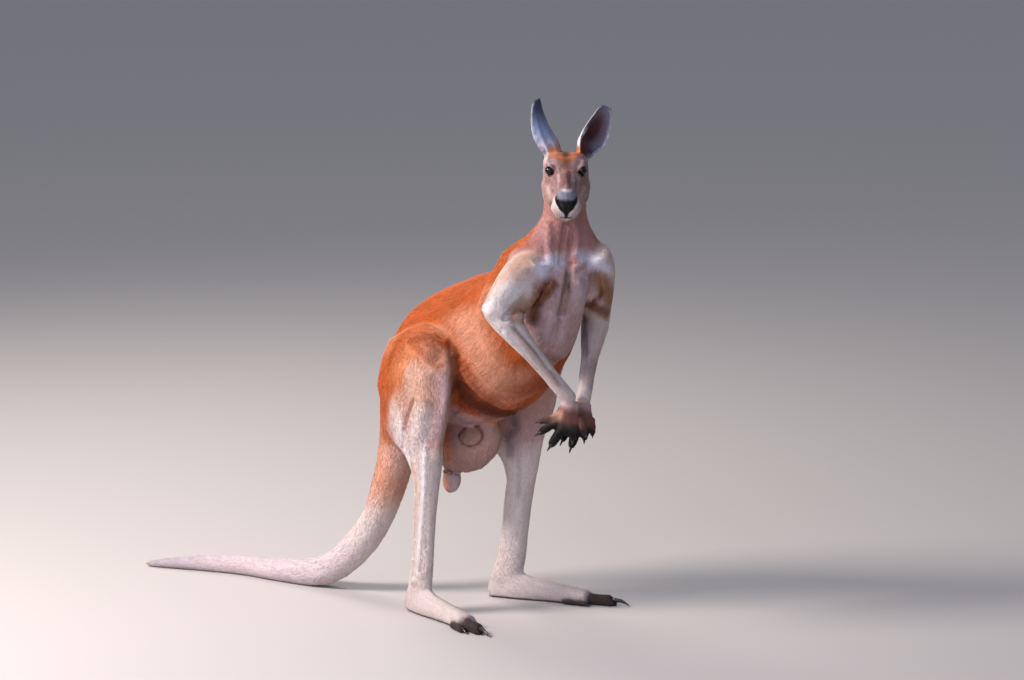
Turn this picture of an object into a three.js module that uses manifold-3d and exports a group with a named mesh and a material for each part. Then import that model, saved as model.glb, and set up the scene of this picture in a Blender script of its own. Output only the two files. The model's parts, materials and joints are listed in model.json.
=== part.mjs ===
// A red kangaroo, an adult male, as a still life-size display model. He stands high on both hind feet
// with his tail laid out behind him, his chest and head turned to his right and his hands together.
// Millimetres, +Z up. The pelvis faces -Y, +X is the animal's left, and the floor is z = 0.
// Every length of flesh is a loft: named sections along a line, filled out by rounded muscles.
import * as THREE from "three";
import Module from "manifold-3d";

const wasm = await Module();
wasm.setup();

const point = (x, y, z) => new THREE.Vector3(x, y, z);
const radians = THREE.MathUtils.degToRad;
const { lerp } = THREE.MathUtils;
const { max, min, abs, cos, sin, hypot, PI } = Math;

// ---- driving dimensions ----
const GAP = 0.35; // kept between neighbours, so that no two solids touch
const FLATTEST_SLOPE = 0.4; // a sharp corner grows by no more than the gap over this
const FLOOR = 0; // soles and the tail's underside are cut flat here
const EYE_RADIUS = 14;
const EYE_SPREAD = 40; // from the head's middle to an eye
const HEAD_HEADING = 53; // degrees towards his right
const HEAD_DROOP = 25; // degrees that the muzzle points below the horizon
const EYES_AT = point(-49, -392, 1197); // midway between the eyes
const EAR_WALL = 4.5;
const THIGH_HEADING = 20; // the hind legs spread by this much
const CLAW_SIDES = 5;
const FINGER_SIDES = 5;
const TOE_SIDES = 6;

// ---- joints of the standing pose ----
const LEGS = [
  { side: "right", out: 1, knee: point(-156, -64, 645), ankle: point(-146, 8, 72), toeOut: 20 },
  { side: "left", out: -1, knee: point(185, -155, 612), ankle: point(147, -62, 66), toeOut: 15 },
];
const ARMS = [
  {
    side: "right",
    out: 1,
    shoulder: point(-112, -316, 938),
    elbow: point(-222, -300, 851),
    wrist: point(-85, -436, 609),
    palm: point(-108, -429, 528),
    backOfHand: point(-0.788, -0.591, 0.174),
    spread: 1,
    fingers: 1,
  },
  {
    side: "left",
    out: -1,
    shoulder: point(61, -403, 942),
    elbow: point(150, -345, 790),
    wrist: point(-31, -434, 598),
    palm: point(-44, -427, 520),
    backOfHand: point(0.788, 0.591, -0.174),
    spread: 0.4,
    fingers: 0.82,
  },
];

// ---- directions ----
// A frame faces `heading` degrees to the animal's right of -Y, pitched up by `pitch`.
function frameOf(heading, pitch) {
  const [t, p] = [radians(heading), radians(pitch)];
  return {
    ahead: point(-sin(t) * cos(p), -cos(t) * cos(p), sin(p)),
    left: point(cos(t), -sin(t), 0),
    up: point(sin(t) * sin(p), cos(t) * sin(p), cos(p)),
  };
}

// A frame that looks from one point to another, with its up as near as can be to `hint`.
function frameAlong(from, to, hint) {
  const ahead = to.clone().sub(from).normalize();
  const left = hint.clone().cross(ahead).normalize();
  return { ahead, left, up: ahead.clone().cross(left) };
}

const within = (frame, origin, ahead, left, up) =>
  origin
    .clone()
    .addScaledVector(frame.ahead, ahead)
    .addScaledVector(frame.left, left)
    .addScaledVector(frame.up, up);

// ---- muscles: signed distance, negative inside ----
const muscle = (a, b, ra, rb) => {
  const ab = b.clone().sub(a);
  return (p) => {
    const t = min(1, max(0, p.clone().sub(a).dot(ab) / ab.lengthSq()));
    return p.distanceTo(a.clone().addScaledVector(ab, t)) - lerp(ra, rb, t);
  };
};
const egg = (centre, frame, ahead, left, up) => (p) => {
  const d = p.clone().sub(centre);
  const q = hypot(d.dot(frame.ahead) / ahead, d.dot(frame.left) / left, d.dot(frame.up) / up);
  return (q - 1) * min(ahead, left, up);
};
const melt = (a, b, reach) => {
  const h = max(reach - abs(a - b), 0) / reach;
  return min(a, b) - (h * h * reach) / 4;
};

// ---- lofts ----
// A section is a centre, two directions and its reach to the left, right, top and bottom.
const section = (at, frame, left, top, bottom = top, right = left) => ({
  at,
  across: frame.left,
  up: frame.up,
  left,
  right,
  top,
  bottom,
});

function cubic(values, u) {
  const f = u * (values.length - 1);
  const i = min(values.length - 2, Math.floor(f));
  const t = f - i;
  const at = (k) => values[min(values.length - 1, max(0, k))];
  const m0 = (at(i + 1) - at(i - 1)) / 2;
  const m1 = (at(i + 2) - at(i)) / 2;
  return (
    (2 * t ** 3 - 3 * t ** 2 + 1) * at(i) +
    (t ** 3 - 2 * t ** 2 + t) * m0 +
    (3 * t ** 2 - 2 * t ** 3) * at(i + 1) +
    (t ** 3 - t ** 2) * m1
  );
}

// The section at `u` of the way along the keys. Every key counts as one equal step.
function sectionAt(keys, u) {
  const blend = (name) =>
    point(...["x", "y", "z"].map((axis) => cubic(keys.map((key) => key[name][axis]), u)));
  const across = blend("across").normalize();
  const up = blend("up");
  up.addScaledVector(across, -up.dot(across)).normalize();
  const made = { at: blend("at"), across, up };
  for (const name of ["left", "right", "top", "bottom"])
    made[name] = cubic(keys.map((key) => key[name]), u);
  return made;
}

const SEARCH_STEP = 4;
const SEARCH_LIMIT = 140;
const BISECTIONS = 16;

// Where the skin lies at `angle` round a section: over its own oval and over any muscles.
function skinPoint(ring, angle, { muscles = [], reach = 25, fullness = 2.2 }) {
  const [c, s] = [cos(angle), sin(angle)];
  const w = c > 0 ? ring.left : ring.right;
  const h = s > 0 ? ring.top : ring.bottom;
  const base = (abs(c / w) ** fullness + abs(s / h) ** fullness) ** (-1 / fullness);
  const way = ring.across.clone().multiplyScalar(c).addScaledVector(ring.up, s);
  const spot = (r) => ring.at.clone().addScaledVector(way, r);
  const field = (r) => muscles.reduce((f, m) => melt(f, m(spot(r)), reach), r - base);
  let [inside, outside] = [base, base];
  while (muscles.length && field(outside) < 0 && outside < base + SEARCH_LIMIT) {
    inside = outside;
    outside += SEARCH_STEP;
  }
  for (let i = 0; outside > inside && i < BISECTIONS; i++) {
    const middle = (inside + outside) / 2;
    if (field(middle) < 0) inside = middle;
    else outside = middle;
  }
  const r = (inside + outside) / 2;
  const below = FLOOR - spot(r).z;
  return below > 0 ? spot((r * (ring.at.z - FLOOR)) / (ring.at.z - FLOOR + below)) : spot(r);
}

// Rings of skin along the keys, each with its own axis for parting it from the next length.
function loft(keys, rings, sides, options = {}) {
  return Array.from({ length: rings }, (_, i) => {
    const ring = sectionAt(keys, i / (rings - 1));
    const corners = Array.from({ length: sides }, (_, j) =>
      skinPoint(ring, (2 * PI * (j + 0.5)) / sides, options),
    );
    return { corners, axis: ring.up.clone().cross(ring.across).negate() };
  });
}

const stepped = (ring, by) => ({
  ...ring,
  corners: ring.corners.map((p) => p.clone().addScaledVector(ring.axis, by)),
});

// A closed mesh over rings of corners, with a flat cap at each end.
function closedRings(rings) {
  const sides = rings[0].corners.length;
  const corners = rings.flatMap((ring) => ring.corners);
  const faces = [];
  const quad = (a, b, c, d) => faces.push(a, b, c, a, c, d);
  for (let i = 0; i + 1 < rings.length; i++)
    for (let j = 0; j < sides; j++) {
      const k = (j + 1) % sides;
      quad(i * sides + j, i * sides + k, (i + 1) * sides + k, (i + 1) * sides + j);
    }
  for (const last of [false, true]) {
    const start = last ? (rings.length - 1) * sides : 0;
    const hub = corners.push(middleOf(corners.slice(start, start + sides))) - 1;
    for (let j = 0; j < sides; j++) {
      const [a, b] = [start + j, start + ((j + 1) % sides)];
      faces.push(hub, last ? a : b, last ? b : a);
    }
  }
  return solidOf(corners, faces);
}

const middleOf = (corners) =>
  corners.reduce((sum, p) => sum.add(p), point(0, 0, 0)).divideScalar(corners.length);

// ---- solids ----
function solidOf(corners, faces) {
  const vertProperties = new Float32Array(corners.flatMap((p) => [p.x, p.y, p.z]));
  const solid = (indices) =>
    new wasm.Manifold(
      new wasm.Mesh({ numProp: 3, vertProperties, triVerts: new Uint32Array(indices) }),
    );
  const made = solid(faces);
  return made.volume() > 0 ? made : solid(faces.toReversed());
}

function geometryOf(solid) {
  const { vertProperties, triVerts } = solid.getMesh();
  const geometry = new THREE.BufferGeometry();
  geometry.setAttribute("position", new THREE.BufferAttribute(vertProperties, 3));
  geometry.setIndex(new THREE.BufferAttribute(triVerts, 1));
  geometry.computeVertexNormals();
  return geometry;
}

// The same solid with every face moved outwards by the gap, to cut its neighbour with.
function grown(solid) {
  const { vertProperties, triVerts } = solid.getMesh();
  const corners = Array.from({ length: vertProperties.length / 3 }, (_, i) =>
    point().fromArray(vertProperties, i * 3),
  );
  const normals = corners.map(() => []);
  for (let i = 0; i < triVerts.length; i += 3) {
    const face = [...triVerts.slice(i, i + 3)];
    const normal = new THREE.Triangle(...face.map((k) => corners[k])).getNormal(point());
    for (const k of face) normals[k].push(normal);
  }
  const moved = corners.map((corner, i) => {
    const way = normals[i].reduce((sum, n) => sum.add(n), point()).normalize();
    const slope = min(...normals[i].map((n) => way.dot(n)));
    return corner.clone().addScaledVector(way, GAP / max(slope, FLATTEST_SLOPE));
  });
  return solidOf(moved, [...triVerts]);
}

const largest = (solid) => solid.decompose().reduce((a, b) => (a.volume() > b.volume() ? a : b));
const carve = (solid, ...cutters) =>
  largest(cutters.reduce((left, cutter) => left.subtract(grown(cutter)), solid));

// ---- finishes ----
const finish = (color, roughness, metalness = 0) =>
  new THREE.MeshStandardMaterial({ color, roughness, metalness });
const FINISHES = {
  rust: finish(0xc2622c, 0.85),
  cream: finish(0xd9c0a4, 0.85),
  pale: finish(0xc9aea2, 0.85),
  dark: finish(0x2a1f1c, 0.7),
  claw: finish(0x14120f, 0.4),
  eye: finish(0x0b0807, 0.08),
  grey: finish(0x8f8a8d, 0.85),
};

const kangaroo = new THREE.Group();
function place(name, solid, material) {
  const mesh = new THREE.Mesh(geometryOf(solid), FINISHES[material]);
  mesh.name = name;
  kangaroo.add(mesh);
}

// ---- head ----
const headFrame = frameOf(HEAD_HEADING, -HEAD_DROOP);
const inHead = (ahead, left, up) => within(headFrame, EYES_AT, ahead, left, up);
const HEAD_PROFILE = [
  // ahead of the eyes, top of the profile, bottom, half-width
  [-102, -8, -74, 36],
  [-84, 8, -90, 48],
  [-58, 25, -100, 52],
  [-28, 34, -100, 53],
  [-2, 34, -96, 52],
  [24, 26, -92, 46],
  [48, 19, -88, 40],
  [72, 17, -85, 35],
  [94, 13, -84, 33],
  [109, 8, -79, 31],
  [119, 0, -66, 25],
  [126, -13, -52, 13],
];

function headSolid() {
  const keys = HEAD_PROFILE.map(([ahead, top, bottom, width]) => {
    const half = (top - bottom) / 2;
    return section(inHead(ahead, 0, (top + bottom) / 2), headFrame, width, half);
  });
  const muscles = [-1, 1].flatMap((side) => [
    egg(inHead(-14, side * 34, 20), headFrame, 26, 17, 12), // brow
    egg(inHead(-26, side * 35, -6), headFrame, 30, 16, 22), // temple
    egg(inHead(8, side * 39, -52), headFrame, 48, 23, 37), // cheek
    muscle(inHead(62, side * 15, -50), inHead(100, side * 15, -48), 20, 17), // upper lip
    muscle(inHead(-40, side * 30, -8), inHead(-70, side * 36, -14), 28, 22), // root of the ear
  ]);
  return closedRings(loft(keys, 18, 18, { muscles, reach: 18 }));
}

const eyeSolid = (side) => {
  const ball = new THREE.IcosahedronGeometry(EYE_RADIUS, 1);
  return ballSolid(ball, inHead(12, side * EYE_SPREAD, 13));
};

function ballSolid(geometry, centre) {
  const { position } = geometry.attributes;
  const corners = [];
  const faces = [];
  const seen = new Map();
  for (let i = 0; i < position.count; i++) {
    const p = point().fromBufferAttribute(position, i);
    const key = p.toArray().map((v) => v.toFixed(3)).join();
    if (!seen.has(key)) seen.set(key, corners.push(p.add(centre)) - 1);
    faces.push(seen.get(key));
  }
  return solidOf(corners, faces);
}

// An ear is a cup: a curved sheet that is nearly a tube at its root and opens into a leaf.
const EARS = [
  {
    side: "right",
    root: inHead(-66, -38, 0),
    tip: inHead(-132, -68, 138),
    open: point(-0.18, 0.98, 0),
  },
  {
    side: "left",
    root: inHead(-66, 45, 2),
    tip: inHead(-98, 103, 138),
    open: point(-0.6, -0.72, 0.1),
  },
];
const EAR_LEAF = [
  // share of the length, half-width of the leaf, degrees of the wall round its axis, each side
  [0, 22, 150],
  [0.12, 27, 140],
  [0.28, 34, 112],
  [0.45, 37, 88],
  [0.62, 35, 76],
  [0.78, 29, 68],
  [0.91, 24, 60],
  [1, 14, 50],
];

function earSolid({ root, tip, open }) {
  const frame = frameAlong(root, tip, open);
  const length = root.distanceTo(tip);
  const ROWS = 9;
  const COLUMNS = 6;
  const grid = (inward) =>
    Array.from({ length: ROWS }, (_, i) => {
      const u = i / (ROWS - 1);
      const [share, half, wrap] = [0, 1, 2].map((k) => cubic(EAR_LEAF.map((row) => row[k]), u));
      const angle = radians(wrap);
      const radius = half / (wrap < 90 ? sin(angle) : 1);
      const centre = within(frame, root, share * length, 0, radius * min(1, cos(angle) + 0.6));
      return Array.from({ length: COLUMNS }, (_, j) => {
        const turn = lerp(-angle, angle, j / (COLUMNS - 1));
        const r = max(radius - inward, 1);
        return within(frame, centre, 0, r * sin(turn), -r * cos(turn));
      });
    });
  const [outer, inner] = [grid(0), grid(EAR_WALL)];
  const corners = [...outer.flat(), ...inner.flat()];
  const faces = [];
  const quad = (a, b, c, d) => faces.push(a, b, c, a, c, d);
  const at = (layer, i, j) => layer * ROWS * COLUMNS + i * COLUMNS + j;
  for (let i = 0; i + 1 < ROWS; i++)
    for (let j = 0; j + 1 < COLUMNS; j++) {
      quad(at(0, i, j), at(0, i, j + 1), at(0, i + 1, j + 1), at(0, i + 1, j));
      quad(at(1, i, j), at(1, i + 1, j), at(1, i + 1, j + 1), at(1, i, j + 1));
    }
  for (let i = 0; i + 1 < ROWS; i++) {
    quad(at(0, i, 0), at(0, i + 1, 0), at(1, i + 1, 0), at(1, i, 0));
    const e = COLUMNS - 1;
    quad(at(0, i, e), at(1, i, e), at(1, i + 1, e), at(0, i + 1, e));
  }
  for (let j = 0; j + 1 < COLUMNS; j++) {
    quad(at(0, 0, j), at(1, 0, j), at(1, 0, j + 1), at(0, 0, j + 1));
    const e = ROWS - 1;
    quad(at(0, e, j), at(0, e, j + 1), at(1, e, j + 1), at(1, e, j));
  }
  return solidOf(corners, faces);
}

// ---- trunk and neck ----
const TRUNK = [
  // x, y, z, heading, pitch, half-width, up, down
  [-8, 184, 423, 0, 80, 55, 55, 55],
  [-4, 168, 480, 0, 68, 76, 66, 74],
  [0, 150, 533, 0, 54, 98, 88, 96],
  [2, 112, 592, 0, 42, 118, 126, 126],
  [4, 44, 630, 0, 35, 128, 173, 176],
  [6, -9, 655, 0, 31, 138, 192, 188],
  [6, -68, 686, 2, 31, 146, 192, 192],
  [5, -120, 710, 4, 30, 148, 190, 190],
  [2, -188, 758, 10, 36, 140, 175, 173],
  [-4, -245, 805, 18, 42, 126, 148, 146],
  [-12, -292, 868, 26, 52, 112, 118, 120],
  [-10, -305, 930, 26, 64, 108, 100, 116],
  [-4, -314, 982, 25, 74, 98, 78, 86],
];
const NECK = [
  [-4, -314, 982, 25, 74, 98, 78, 86],
  [4, -326, 1018, 26, 80, 78, 64, 68],
  [12, -336, 1056, 28, 85, 60, 47, 57],
  [17, -340, 1096, 32, 88, 56, 46, 54],
  [14, -340, 1136, 38, 86, 56, 50, 56],
  [2, -346, 1172, 46, 76, 54, 54, 52],
];
const bodySections = (rows) =>
  rows.map(([x, y, z, heading, pitch, wide, up, down]) =>
    section(point(x, y, z), frameOf(heading, pitch), wide, up, down),
  );

const CHEST_HEADING = 30;
const chestFrame = frameOf(CHEST_HEADING, 0);
const STERNUM = point(-86, -420, 885);
const inChest = (ahead, left, up) => within(chestFrame, STERNUM, ahead, left, up);
const trunkMuscles = [
  ...[-1, 1].flatMap((side) => [
    egg(inChest(-50, side * 45, 22), chestFrame, 42, 48, 58), // pectoral
    egg(inChest(-72, side * 26, -70), chestFrame, 60, 36, 110), // lower ribs
  ]),
  muscle(point(30, -352, 1048), point(58, -396, 962), 36, 44), // left trapezius
  muscle(point(-10, -324, 1030), point(-98, -300, 958), 34, 44), // right trapezius
  muscle(point(-60, -240, 950), point(-110, -210, 850), 44, 48), // right shoulder blade
  muscle(point(60, -290, 950), point(96, -250, 850), 44, 44), // left shoulder blade
];

const groinSolid = () => {
  const frame = frameOf(0, 8);
  const centre = point(8, -14, 452);
  return lumpSolid(centre, frame, 122, 60, 100, 7, 10);
};

// An egg-shaped solid, longest along its frame's `ahead`.
function lumpSolid(centre, frame, ahead, left, up, rings, sides) {
  const keys = Array.from({ length: rings }, (_, i) => {
    const s = -cos((PI * (i + 0.35)) / (rings - 0.3));
    const r = Math.sqrt(1 - s * s);
    return section(within(frame, centre, s * ahead, 0, 0), frame, left * r, up * r);
  });
  return closedRings(loft(keys, rings, sides, { fullness: 2 }));
}

// ---- tail ----
const TAIL = [
  // x, y, z, pitch, half-width
  [-130, 964, 6, 4, 7],
  [-124, 926, 11, 4, 13],
  [-96, 849, 17, 3, 20],
  [-70, 768, 22, 2, 26],
  [-52, 678, 24, 2, 29],
  [-54, 581, 27, 3, 32],
  [-50, 480, 31, 9, 37],
  [-45, 385, 55, 26, 41],
  [-38, 304, 122, 46, 44],
  [-30, 248, 198, 60, 43],
  [-22, 216, 280, 72, 47],
  [-14, 192, 368, 78, 51],
  [-8, 184, 423, 80, 55],
];
const TAIL_CUTS = [0, 6, 12, 18, 23];

// ---- hind legs ----
const LEG_PROFILE = [
  // share of the shin below the knee, reach ahead of the shin's line, reach behind it, half-thickness
  [-0.222, -52, 96, 15],
  [-0.202, -14, 138, 34],
  [-0.168, 18, 176, 50],
  [-0.11, 34, 214, 61],
  [-0.03, 42, 244, 64],
  [0.06, 48, 258, 64],
  [0.14, 48, 256, 62],
  [0.22, 43, 244, 58],
  [0.29, 36, 222, 52],
  [0.345, 32, 180, 45],
  [0.39, 30, 112, 40],
  [0.43, 29, 76, 36],
  [0.48, 28, 57, 32],
  [0.59, 28, 55, 27],
  [0.74, 32, 47, 24],
  [0.88, 40, 43, 23],
  [0.99, 42, 48, 25],
  [1.05, 42, 54, 25],
];
const LEG_RINGS = 20;
const KNEE_RING = 10;
const LEG_SIDES = 14;

function legRings({ out, knee, ankle, toeOut }) {
  // The leg turns from the thigh's heading to the foot's over the upper half of the shin.
  const frameAt = (share) =>
    frameOf(out * lerp(THIGH_HEADING, toeOut, min(1, max(0, share * 2))), 0);
  const shin = (share, ahead, left) =>
    within(frameAt(share), knee.clone().lerp(ankle, share), ahead, left, 0);
  const keys = LEG_PROFILE.map(([share, front, back, thick]) => {
    const frame = frameAt(share);
    const half = (front + back) / 2;
    const oval = section(shin(share, (front - back) / 2, 0), frame, thick, half);
    return { ...oval, up: frame.ahead };
  });
  const muscles = [
    muscle(shin(-0.06, -160, 0), shin(0.02, -12, out * 4), 66, 46), // front of the thigh
    muscle(shin(0.07, -192, 0), shin(0.3, -88, 0), 62, 42), // hamstrings
    muscle(shin(0.12, -60, 0), shin(0.42, -48, 0), 56, 34), // calf
  ];
  return loft(keys, LEG_RINGS, LEG_SIDES, { muscles, reach: 22, fullness: 2.1 });
}

// ---- hind feet ----
const FOOT_PROFILE = [
  // distance from the ankle along the foot, top of the foot, half-width
  [-57, 40, 12],
  [-49, 66, 19],
  [-34, 82, 23],
  [-10, 88, 25],
  [16, 84, 27],
  [42, 72, 26],
  [70, 63, 25],
  [110, 57, 25],
  [160, 50, 27],
  [200, 43, 30],
  [226, 39, 32],
];
// A toe runs from `from` to `to` along the foot, `aside` to its outside. A claw is offset, long, thick.
const LONG_CLAWS = [[0, 50, 10]];
const OUTER_CLAWS = [[0, 30, 7]];
const INNER_CLAWS = [
  [-4, 18, 4],
  [4, 18, 4],
];
const TOES = [
  { name: "long_toe", from: 208, to: 304, aside: 3, turn: 2, wide: 18, tall: 35, claws: LONG_CLAWS },
  { name: "outer_toe", from: 192, to: 262, aside: 26, turn: 7, wide: 11, tall: 25, claws: OUTER_CLAWS },
  { name: "inner_toes", from: 160, to: 236, aside: -24, turn: -4, wide: 8, tall: 20, claws: INNER_CLAWS },
];
const TOE_ROWS = [
  // share of the toe, share of its half-width and of its height
  [0, 0.8, 0.85],
  [0.25, 0.95, 0.95],
  [0.5, 0.9, 0.86],
  [0.78, 0.98, 0.9],
  [0.94, 0.74, 0.66],
  [1, 0.4, 0.4],
];

const footFrame = ({ out, toeOut }) => frameOf(out * toeOut, 0);

function footSolid(leg) {
  const frame = footFrame(leg);
  const origin = leg.ankle.clone().setZ(0);
  const keys = FOOT_PROFILE.map(([ahead, tall, wide]) =>
    section(within(frame, origin, ahead, 0, tall * 0.36), frame, wide, tall * 0.64, tall * 0.5),
  );
  return closedRings(loft(keys, 11, 10, { fullness: 2.4 }));
}

function toeSolids(leg, { from, to, aside, turn, wide, tall, claws }) {
  const base = footFrame(leg);
  const origin = leg.ankle.clone().setZ(0);
  const start = within(base, origin, from, -leg.out * aside, 0);
  const frame = frameOf(leg.out * (leg.toeOut + turn), 0);
  const length = to - from;
  const keys = TOE_ROWS.map(([share, w, h]) => {
    const height = h * tall;
    const centre = within(frame, start, share * length, 0, height * 0.38);
    return section(centre, frame, w * wide, height * 0.62, height * 0.5);
  });
  const toe = closedRings(loft(keys, 6, TOE_SIDES, { fullness: 2.4 }));
  const nails = claws.map(([offset, long, thick]) => {
    const root = within(frame, start, length - 14, -leg.out * offset, tall * 0.42);
    const tip = within(frame, root, long, 0, -tall * 0.3);
    return clawSolid(root, tip, thick, frame.up, 0.16);
  });
  return { toe, nails };
}

// A claw tapers from its root to its tip, and its back is arched by `arch` of its length.
function clawSolid(root, tip, radius, hint, arch) {
  const frame = frameAlong(root, tip, hint);
  const length = root.distanceTo(tip);
  const RINGS = 3;
  const keys = Array.from({ length: RINGS }, (_, i) => {
    const s = i / (RINGS - 1);
    const r = max(radius * (1 - s) ** 0.75, 1);
    return section(within(frame, root, s * length, 0, arch * length * sin(PI * s)), frame, r * 0.78, r);
  });
  return closedRings(loft(keys, RINGS, CLAW_SIDES, { fullness: 2 }));
}

// ---- arms ----
const UPPER_ARM = [
  [-0.28, 40, 40],
  [0, 55, 58],
  [0.35, 53, 60],
  [0.75, 43, 51],
  [1.02, 38, 46],
];
const FOREARM = [
  [-0.1, 30, 32],
  [0.0, 38, 42],
  [0.12, 38, 44],
  [0.28, 32, 38],
  [0.48, 24, 28],
  [0.7, 21, 23],
  [0.88, 21, 25],
  [1, 20, 27],
];
const PALM = [
  // distance from the wrist, half-width, half-thickness
  [0, 20, 20],
  [16, 25, 18],
  [38, 33, 17],
  [60, 36, 16],
  [78, 28, 13],
  [88, 16, 9],
];
const DIGITS = [
  // knuckle ahead of the wrist and to the little finger's side, fan in degrees, half-width, claw's length
  { ahead: 58, aside: 24, fan: 58, length: 36, wide: 9, claw: 22 },
  { ahead: 70, aside: 19, fan: 44, length: 46, wide: 10, claw: 25 },
  { ahead: 76, aside: 2, fan: 20, length: 52, wide: 12, claw: 26 },
  { ahead: 68, aside: -17, fan: -12, length: 32, wide: 10, claw: 20 },
  { ahead: 52, aside: -29, fan: -34, length: 32, wide: 9, claw: 18 },
];

function limb(from, to, rows, hint, rings, sides, muscles = []) {
  const frame = frameAlong(from, to, hint);
  const keys = rows.map(([share, wide, tall]) =>
    section(from.clone().lerp(to, share), frame, wide, tall),
  );
  return closedRings(loft(keys, rings, sides, { muscles, reach: 16, fullness: 2.1 }));
}

function handSolids({ out, wrist, palm, backOfHand, spread, fingers }) {
  const frame = frameAlong(wrist, palm, backOfHand);
  const side = -out; // the little finger lies to this side of the hand
  const keys = PALM.map(([ahead, wide, thick]) =>
    section(within(frame, wrist, ahead, 0, 0), frame, wide, thick),
  );
  let hand = closedRings(loft(keys, 6, 7, { fullness: 2.2 }));
  const nails = DIGITS.map(({ ahead, aside, fan, length, wide, claw }) => {
    const long = length * fingers;
    const knuckle = within(frame, wrist, ahead - 14, side * aside, 2);
    const turn = radians(fan * spread);
    const way = (reach, sag) =>
      within(frame, knuckle, reach * cos(turn), side * reach * sin(turn), -sag);
    const joints = [
      // reach from the knuckle, sag below it, share of the half-width
      [0, 0, 1],
      [0.35 * long + 14, -3, 1.05],
      [0.7 * long + 14, 3, 0.92],
      [long + 10, 10, 0.82],
      [long + 16, 14, 0.5],
    ];
    const across = frameAlong(way(0, 0), way(long, 0), frame.up);
    const fingerKeys = joints.map(([reach, sag, share]) =>
      section(way(reach, sag), across, wide * share, wide * share * 0.95),
    );
    hand = hand.add(closedRings(loft(fingerKeys, 4, FINGER_SIDES, { fullness: 2 })));
    return clawSolid(way(long + 5, 7), way(long + 5 + claw, 22), wide * 0.62, frame.up, 0.14);
  });
  return { hand, nails };
}

// ---- assembly ----
const head = headSolid();
const eyes = { right: eyeSolid(-1), left: eyeSolid(1) };
const socketed = carve(head, eyes.right, eyes.left);
place("head", socketed, "pale");
place("eye_right", eyes.right, "eye");
place("eye_left", eyes.left, "eye");
for (const ear of EARS) place(`ear_${ear.side}`, carve(earSolid(ear), head), "grey");

const limbs = LEGS.map((leg) => {
  const rings = legRings(leg);
  const thigh = closedRings(rings.slice(0, KNEE_RING + 1));
  const shank = closedRings(rings.slice(KNEE_RING));
  return { leg, thigh, shank, foot: footSolid(leg) };
});
const arms = ARMS.map((arm) => {
  const upper = limb(arm.shoulder, arm.elbow, UPPER_ARM, point(0, 0, 1), 6, 11);
  const lower = limb(arm.elbow, arm.wrist, FOREARM, arm.backOfHand, 8, 10);
  return { arm, upper, lower, ...handSolids(arm) };
});

for (const { leg, thigh, shank, foot } of limbs) {
  place(`thigh_${leg.side}`, carve(thigh, shank), "cream");
  place(`shank_${leg.side}`, carve(shank, foot), "cream");
  const toes = TOES.map((toe) => ({ name: toe.name, ...toeSolids(leg, toe) }));
  place(`foot_${leg.side}`, carve(foot, ...toes.map((t) => t.toe)), "cream");
  for (const { name, toe, nails } of toes) {
    const others = name === "long_toe" ? [] : [toes[0].toe];
    place(`${name}_${leg.side}`, carve(toe, ...nails, ...others), "dark");
    nails.forEach((nail, i) => place(`${name}_claw_${i + 1}_${leg.side}`, nail, "claw"));
  }
}
for (const { arm, upper, lower, hand, nails } of arms) {
  place(`upper_arm_${arm.side}`, carve(upper, lower), "cream");
  place(`forearm_${arm.side}`, carve(lower, hand), "cream");
  place(`hand_${arm.side}`, carve(hand, ...nails), "dark");
  nails.forEach((nail, i) => place(`finger_claw_${i + 1}_${arm.side}`, nail, "claw"));
}

const groin = groinSolid();
const thighs = limbs.map((l) => l.thigh);
const shanks = limbs.map((l) => l.shank);
const uppers = arms.map((a) => a.upper);
const scrotum = lumpSolid(point(-32, -75, 463), frameOf(10, 20), 36, 30, 34, 6, 8);
const vent = lumpSolid(point(8, 22, 330), frameOf(0, 70), 34, 24, 28, 5, 7);
const trunkRings = loft(bodySections(TRUNK), 23, 18, { muscles: trunkMuscles, reach: 26 });
const TRUNK_PARTS = [
  ["rump", 0, 7],
  ["belly", 7, 15],
  ["chest", 15, 22],
];
for (const [name, first, last] of TRUNK_PARTS) {
  const rings = trunkRings.slice(first, last + 1);
  const whole = closedRings([stepped(rings[0], GAP), ...rings.slice(1)]);
  const cutters = name === "chest" ? uppers : [...thighs, ...shanks];
  place(name, carve(whole, ...cutters), name === "chest" ? "pale" : "rust");
}
const neckRings = loft(bodySections(NECK), 7, 16, { muscles: trunkMuscles, reach: 26 });
const neck = closedRings([stepped(neckRings[0], GAP), ...neckRings.slice(1)]);
place("neck", carve(neck, head, ...uppers), "rust");
const body = closedRings(trunkRings.slice(0, 16));
place("groin", carve(groin, body, ...thighs, ...shanks, scrotum, vent), "pale");
place("scrotum", carve(scrotum, body, ...thighs), "cream");
place("vent", vent, "cream");

const tailKeys = TAIL.map(([x, y, z, pitch, wide]) =>
  section(point(x, y, z), frameOf(0, pitch), wide, wide * 1.08, pitch < 10 ? wide * 1.2 : wide),
);
const tailRings = loft(tailKeys, TAIL_CUTS.at(-1) + 1, 10, { fullness: 2 });
const TAIL_PARTS = ["tail_tip", "tail_end", "tail_bend", "tail_root"];
TAIL_PARTS.forEach((name, i) => {
  const rings = tailRings.slice(TAIL_CUTS[i], TAIL_CUTS[i + 1] + 1);
  const solid = closedRings(i ? [stepped(rings[0], GAP), ...rings.slice(1)] : rings);
  place(name, solid, i < 2 ? "cream" : "rust");
});

// The origin is the middle of the floor under the whole animal.
const bounds = new THREE.Box3().setFromObject(kangaroo);
const middle = bounds.getCenter(point());
kangaroo.position.set(-middle.x, -middle.y, -bounds.min.z);

export default kangaroo;
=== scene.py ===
"""A life-size still model of an adult male red kangaroo: its skin, coat, eyes and claws.

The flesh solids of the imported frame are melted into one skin, which is then modelled with soft pushes
and grooves, as in clay. The coat is many thousand thin tufts that lie along the body, and skin and coat
take their colours from the same markings. Places are named in millimetres on the animal's own axes,
as the solids are, and are moved to the frame by the place of its eyes.
"""

from __future__ import annotations

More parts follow.
